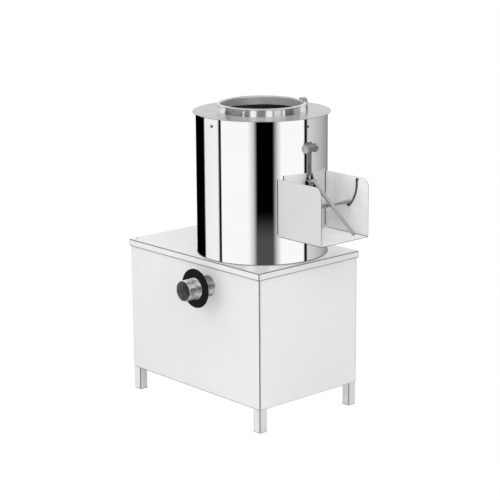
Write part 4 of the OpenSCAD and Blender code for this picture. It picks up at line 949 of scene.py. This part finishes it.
x0, x1, y0, y1, z0, z1 = spans("back_panel")
leg_x0, leg_x1 = spans("leg_back_left"), spans("leg_back_right")
back_spots = [((x, y1, z), (0, 1, 0), 1.0) for x in ((leg_x0[0] + leg_x0[1]) / 2, (leg_x1[0] + leg_x1[1]) / 2)
              for z in (z0 + 45, (z0 + table_z) / 2, table_z - 45)]
x0, x1, y0, y1, z0, z1 = spans("table_top")
top_spots = [((x0 + 11, y, z1), (0, 0, 1), 0.86) for y in (y0 + 25, y1 - 25)]
set_pieces("pan_head_screws", back_spots + top_spots, pan_head(3.8, 1.9, 2.0, 9.0), screw_shade_grey, "cabinet",
           ["sheet_screws"])
cover_seat, cover_screw_z = drum_r + 0.3, 903.0
cover_spots = [((cover_seat * math.cos(a), cover_seat * math.sin(a), cover_screw_z),
                (math.cos(a), math.sin(a), 0), 1.0) for a in (0, math.pi / 2, math.pi, math.pi * 1.5)]
set_pieces("cover_pan_heads", cover_spots, pan_head(4.4, 2.4, 2.5, 8.5), screw_shade_grey, "cabinet",
           ["cover_screws"])

# ---------------------------------------------------------------------------------------------
# The starter box on the left side: a moulded base and lid, a black bezel round each button, four
# lid screws, and a gland under it for the supply cable.
box_plastic = moulded("box_plastic", (0.62, 0.62, 0.60), 0.42)
dressed(["starter_box"], box_plastic, 1.6, 3)
dressed(["starter_cover"], box_plastic, 0.4, 2)
dressed(["cable_gland"], plug_plastic, 0.5)
x0, x1, y0, y1, z0, z1 = spans("starter_cover")
lid_x, box_y = x0, (y0 + y1) / 2
to_left = Matrix.Rotation(-math.pi / 2, 4, "Y")
for node, colour, slot in (("start_button", (0.03, 0.36, 0.12), "green_plastic"),
                           ("stop_button", (0.62, 0.025, 0.02), "red_plastic")):
    x0, x1, y0, y1, z0, z1 = spans(node)
    lip = (y1 - y0) / 2
    cap, proud, base, round_r = lip - 2.0, lid_x - x0, x1 - lid_x, 1.4
    on_lid = Matrix.Translation((lid_x, box_y, (z0 + z1) / 2)) @ to_left
    button = bmesh.new()
    turned(button, [(0, -base), (cap, -base), (cap, -5.5), (lip, -5.5), (lip, -3.4), (cap, -3.4)]
           + [(cap - round_r * (1 - math.cos(a)), proud - round_r * (1 - math.sin(a))) for a in quarter(6)]
           + [(cap * 0.72, proud), (cap * 0.5, proud - 0.5), (0, proud - 0.8)], 64)
    bmesh.ops.remove_doubles(button, verts=button.verts, dist=0.001)
    bmesh.ops.transform(button, matrix=on_lid, verts=button.verts)
    finished(node + "_cap", button, moulded(node + "_plastic", colour, 0.25, 600.0, 0.0001, 0.4), node,
             [node])
    bezel = bmesh.new()
    turned(bezel, filleted([(cap + 0.5, 0, 0), (cap + 5.0, 0, 0), (cap + 4.2, 2.2, 0.8),
                            (cap + 0.8, 3.0, 0.6)], 4), 64)
    bmesh.ops.transform(bezel, matrix=on_lid, verts=bezel.verts)
    finished(node + "_bezel", bezel, plug_plastic, "cabinet")
x0, x1, y0, y1, z0, z1 = spans("starter_cover")
lid_spots = [((lid_x, y, z), (-1, 0, 0), 0.8) for y in (y0 + 8, y1 - 8) for z in (z0 + 8, z1 - 8)]
set_pieces("lid_screws", lid_spots, pan_head(3.8, 1.9, 2.0, 3.0), screw_shade_grey, "cabinet")

# Nothing from the table top downwards is mirrored in the drum, which meets the floor's tones there.
mirrored_from = 0.494
for piece in bpy.context.scene.objects:
    if piece.type != "MESH":
        continue
    if min((piece.matrix_world @ Vector(corner)).z for corner in piece.bound_box) < mirrored_from:
        piece.visible_glossy = False
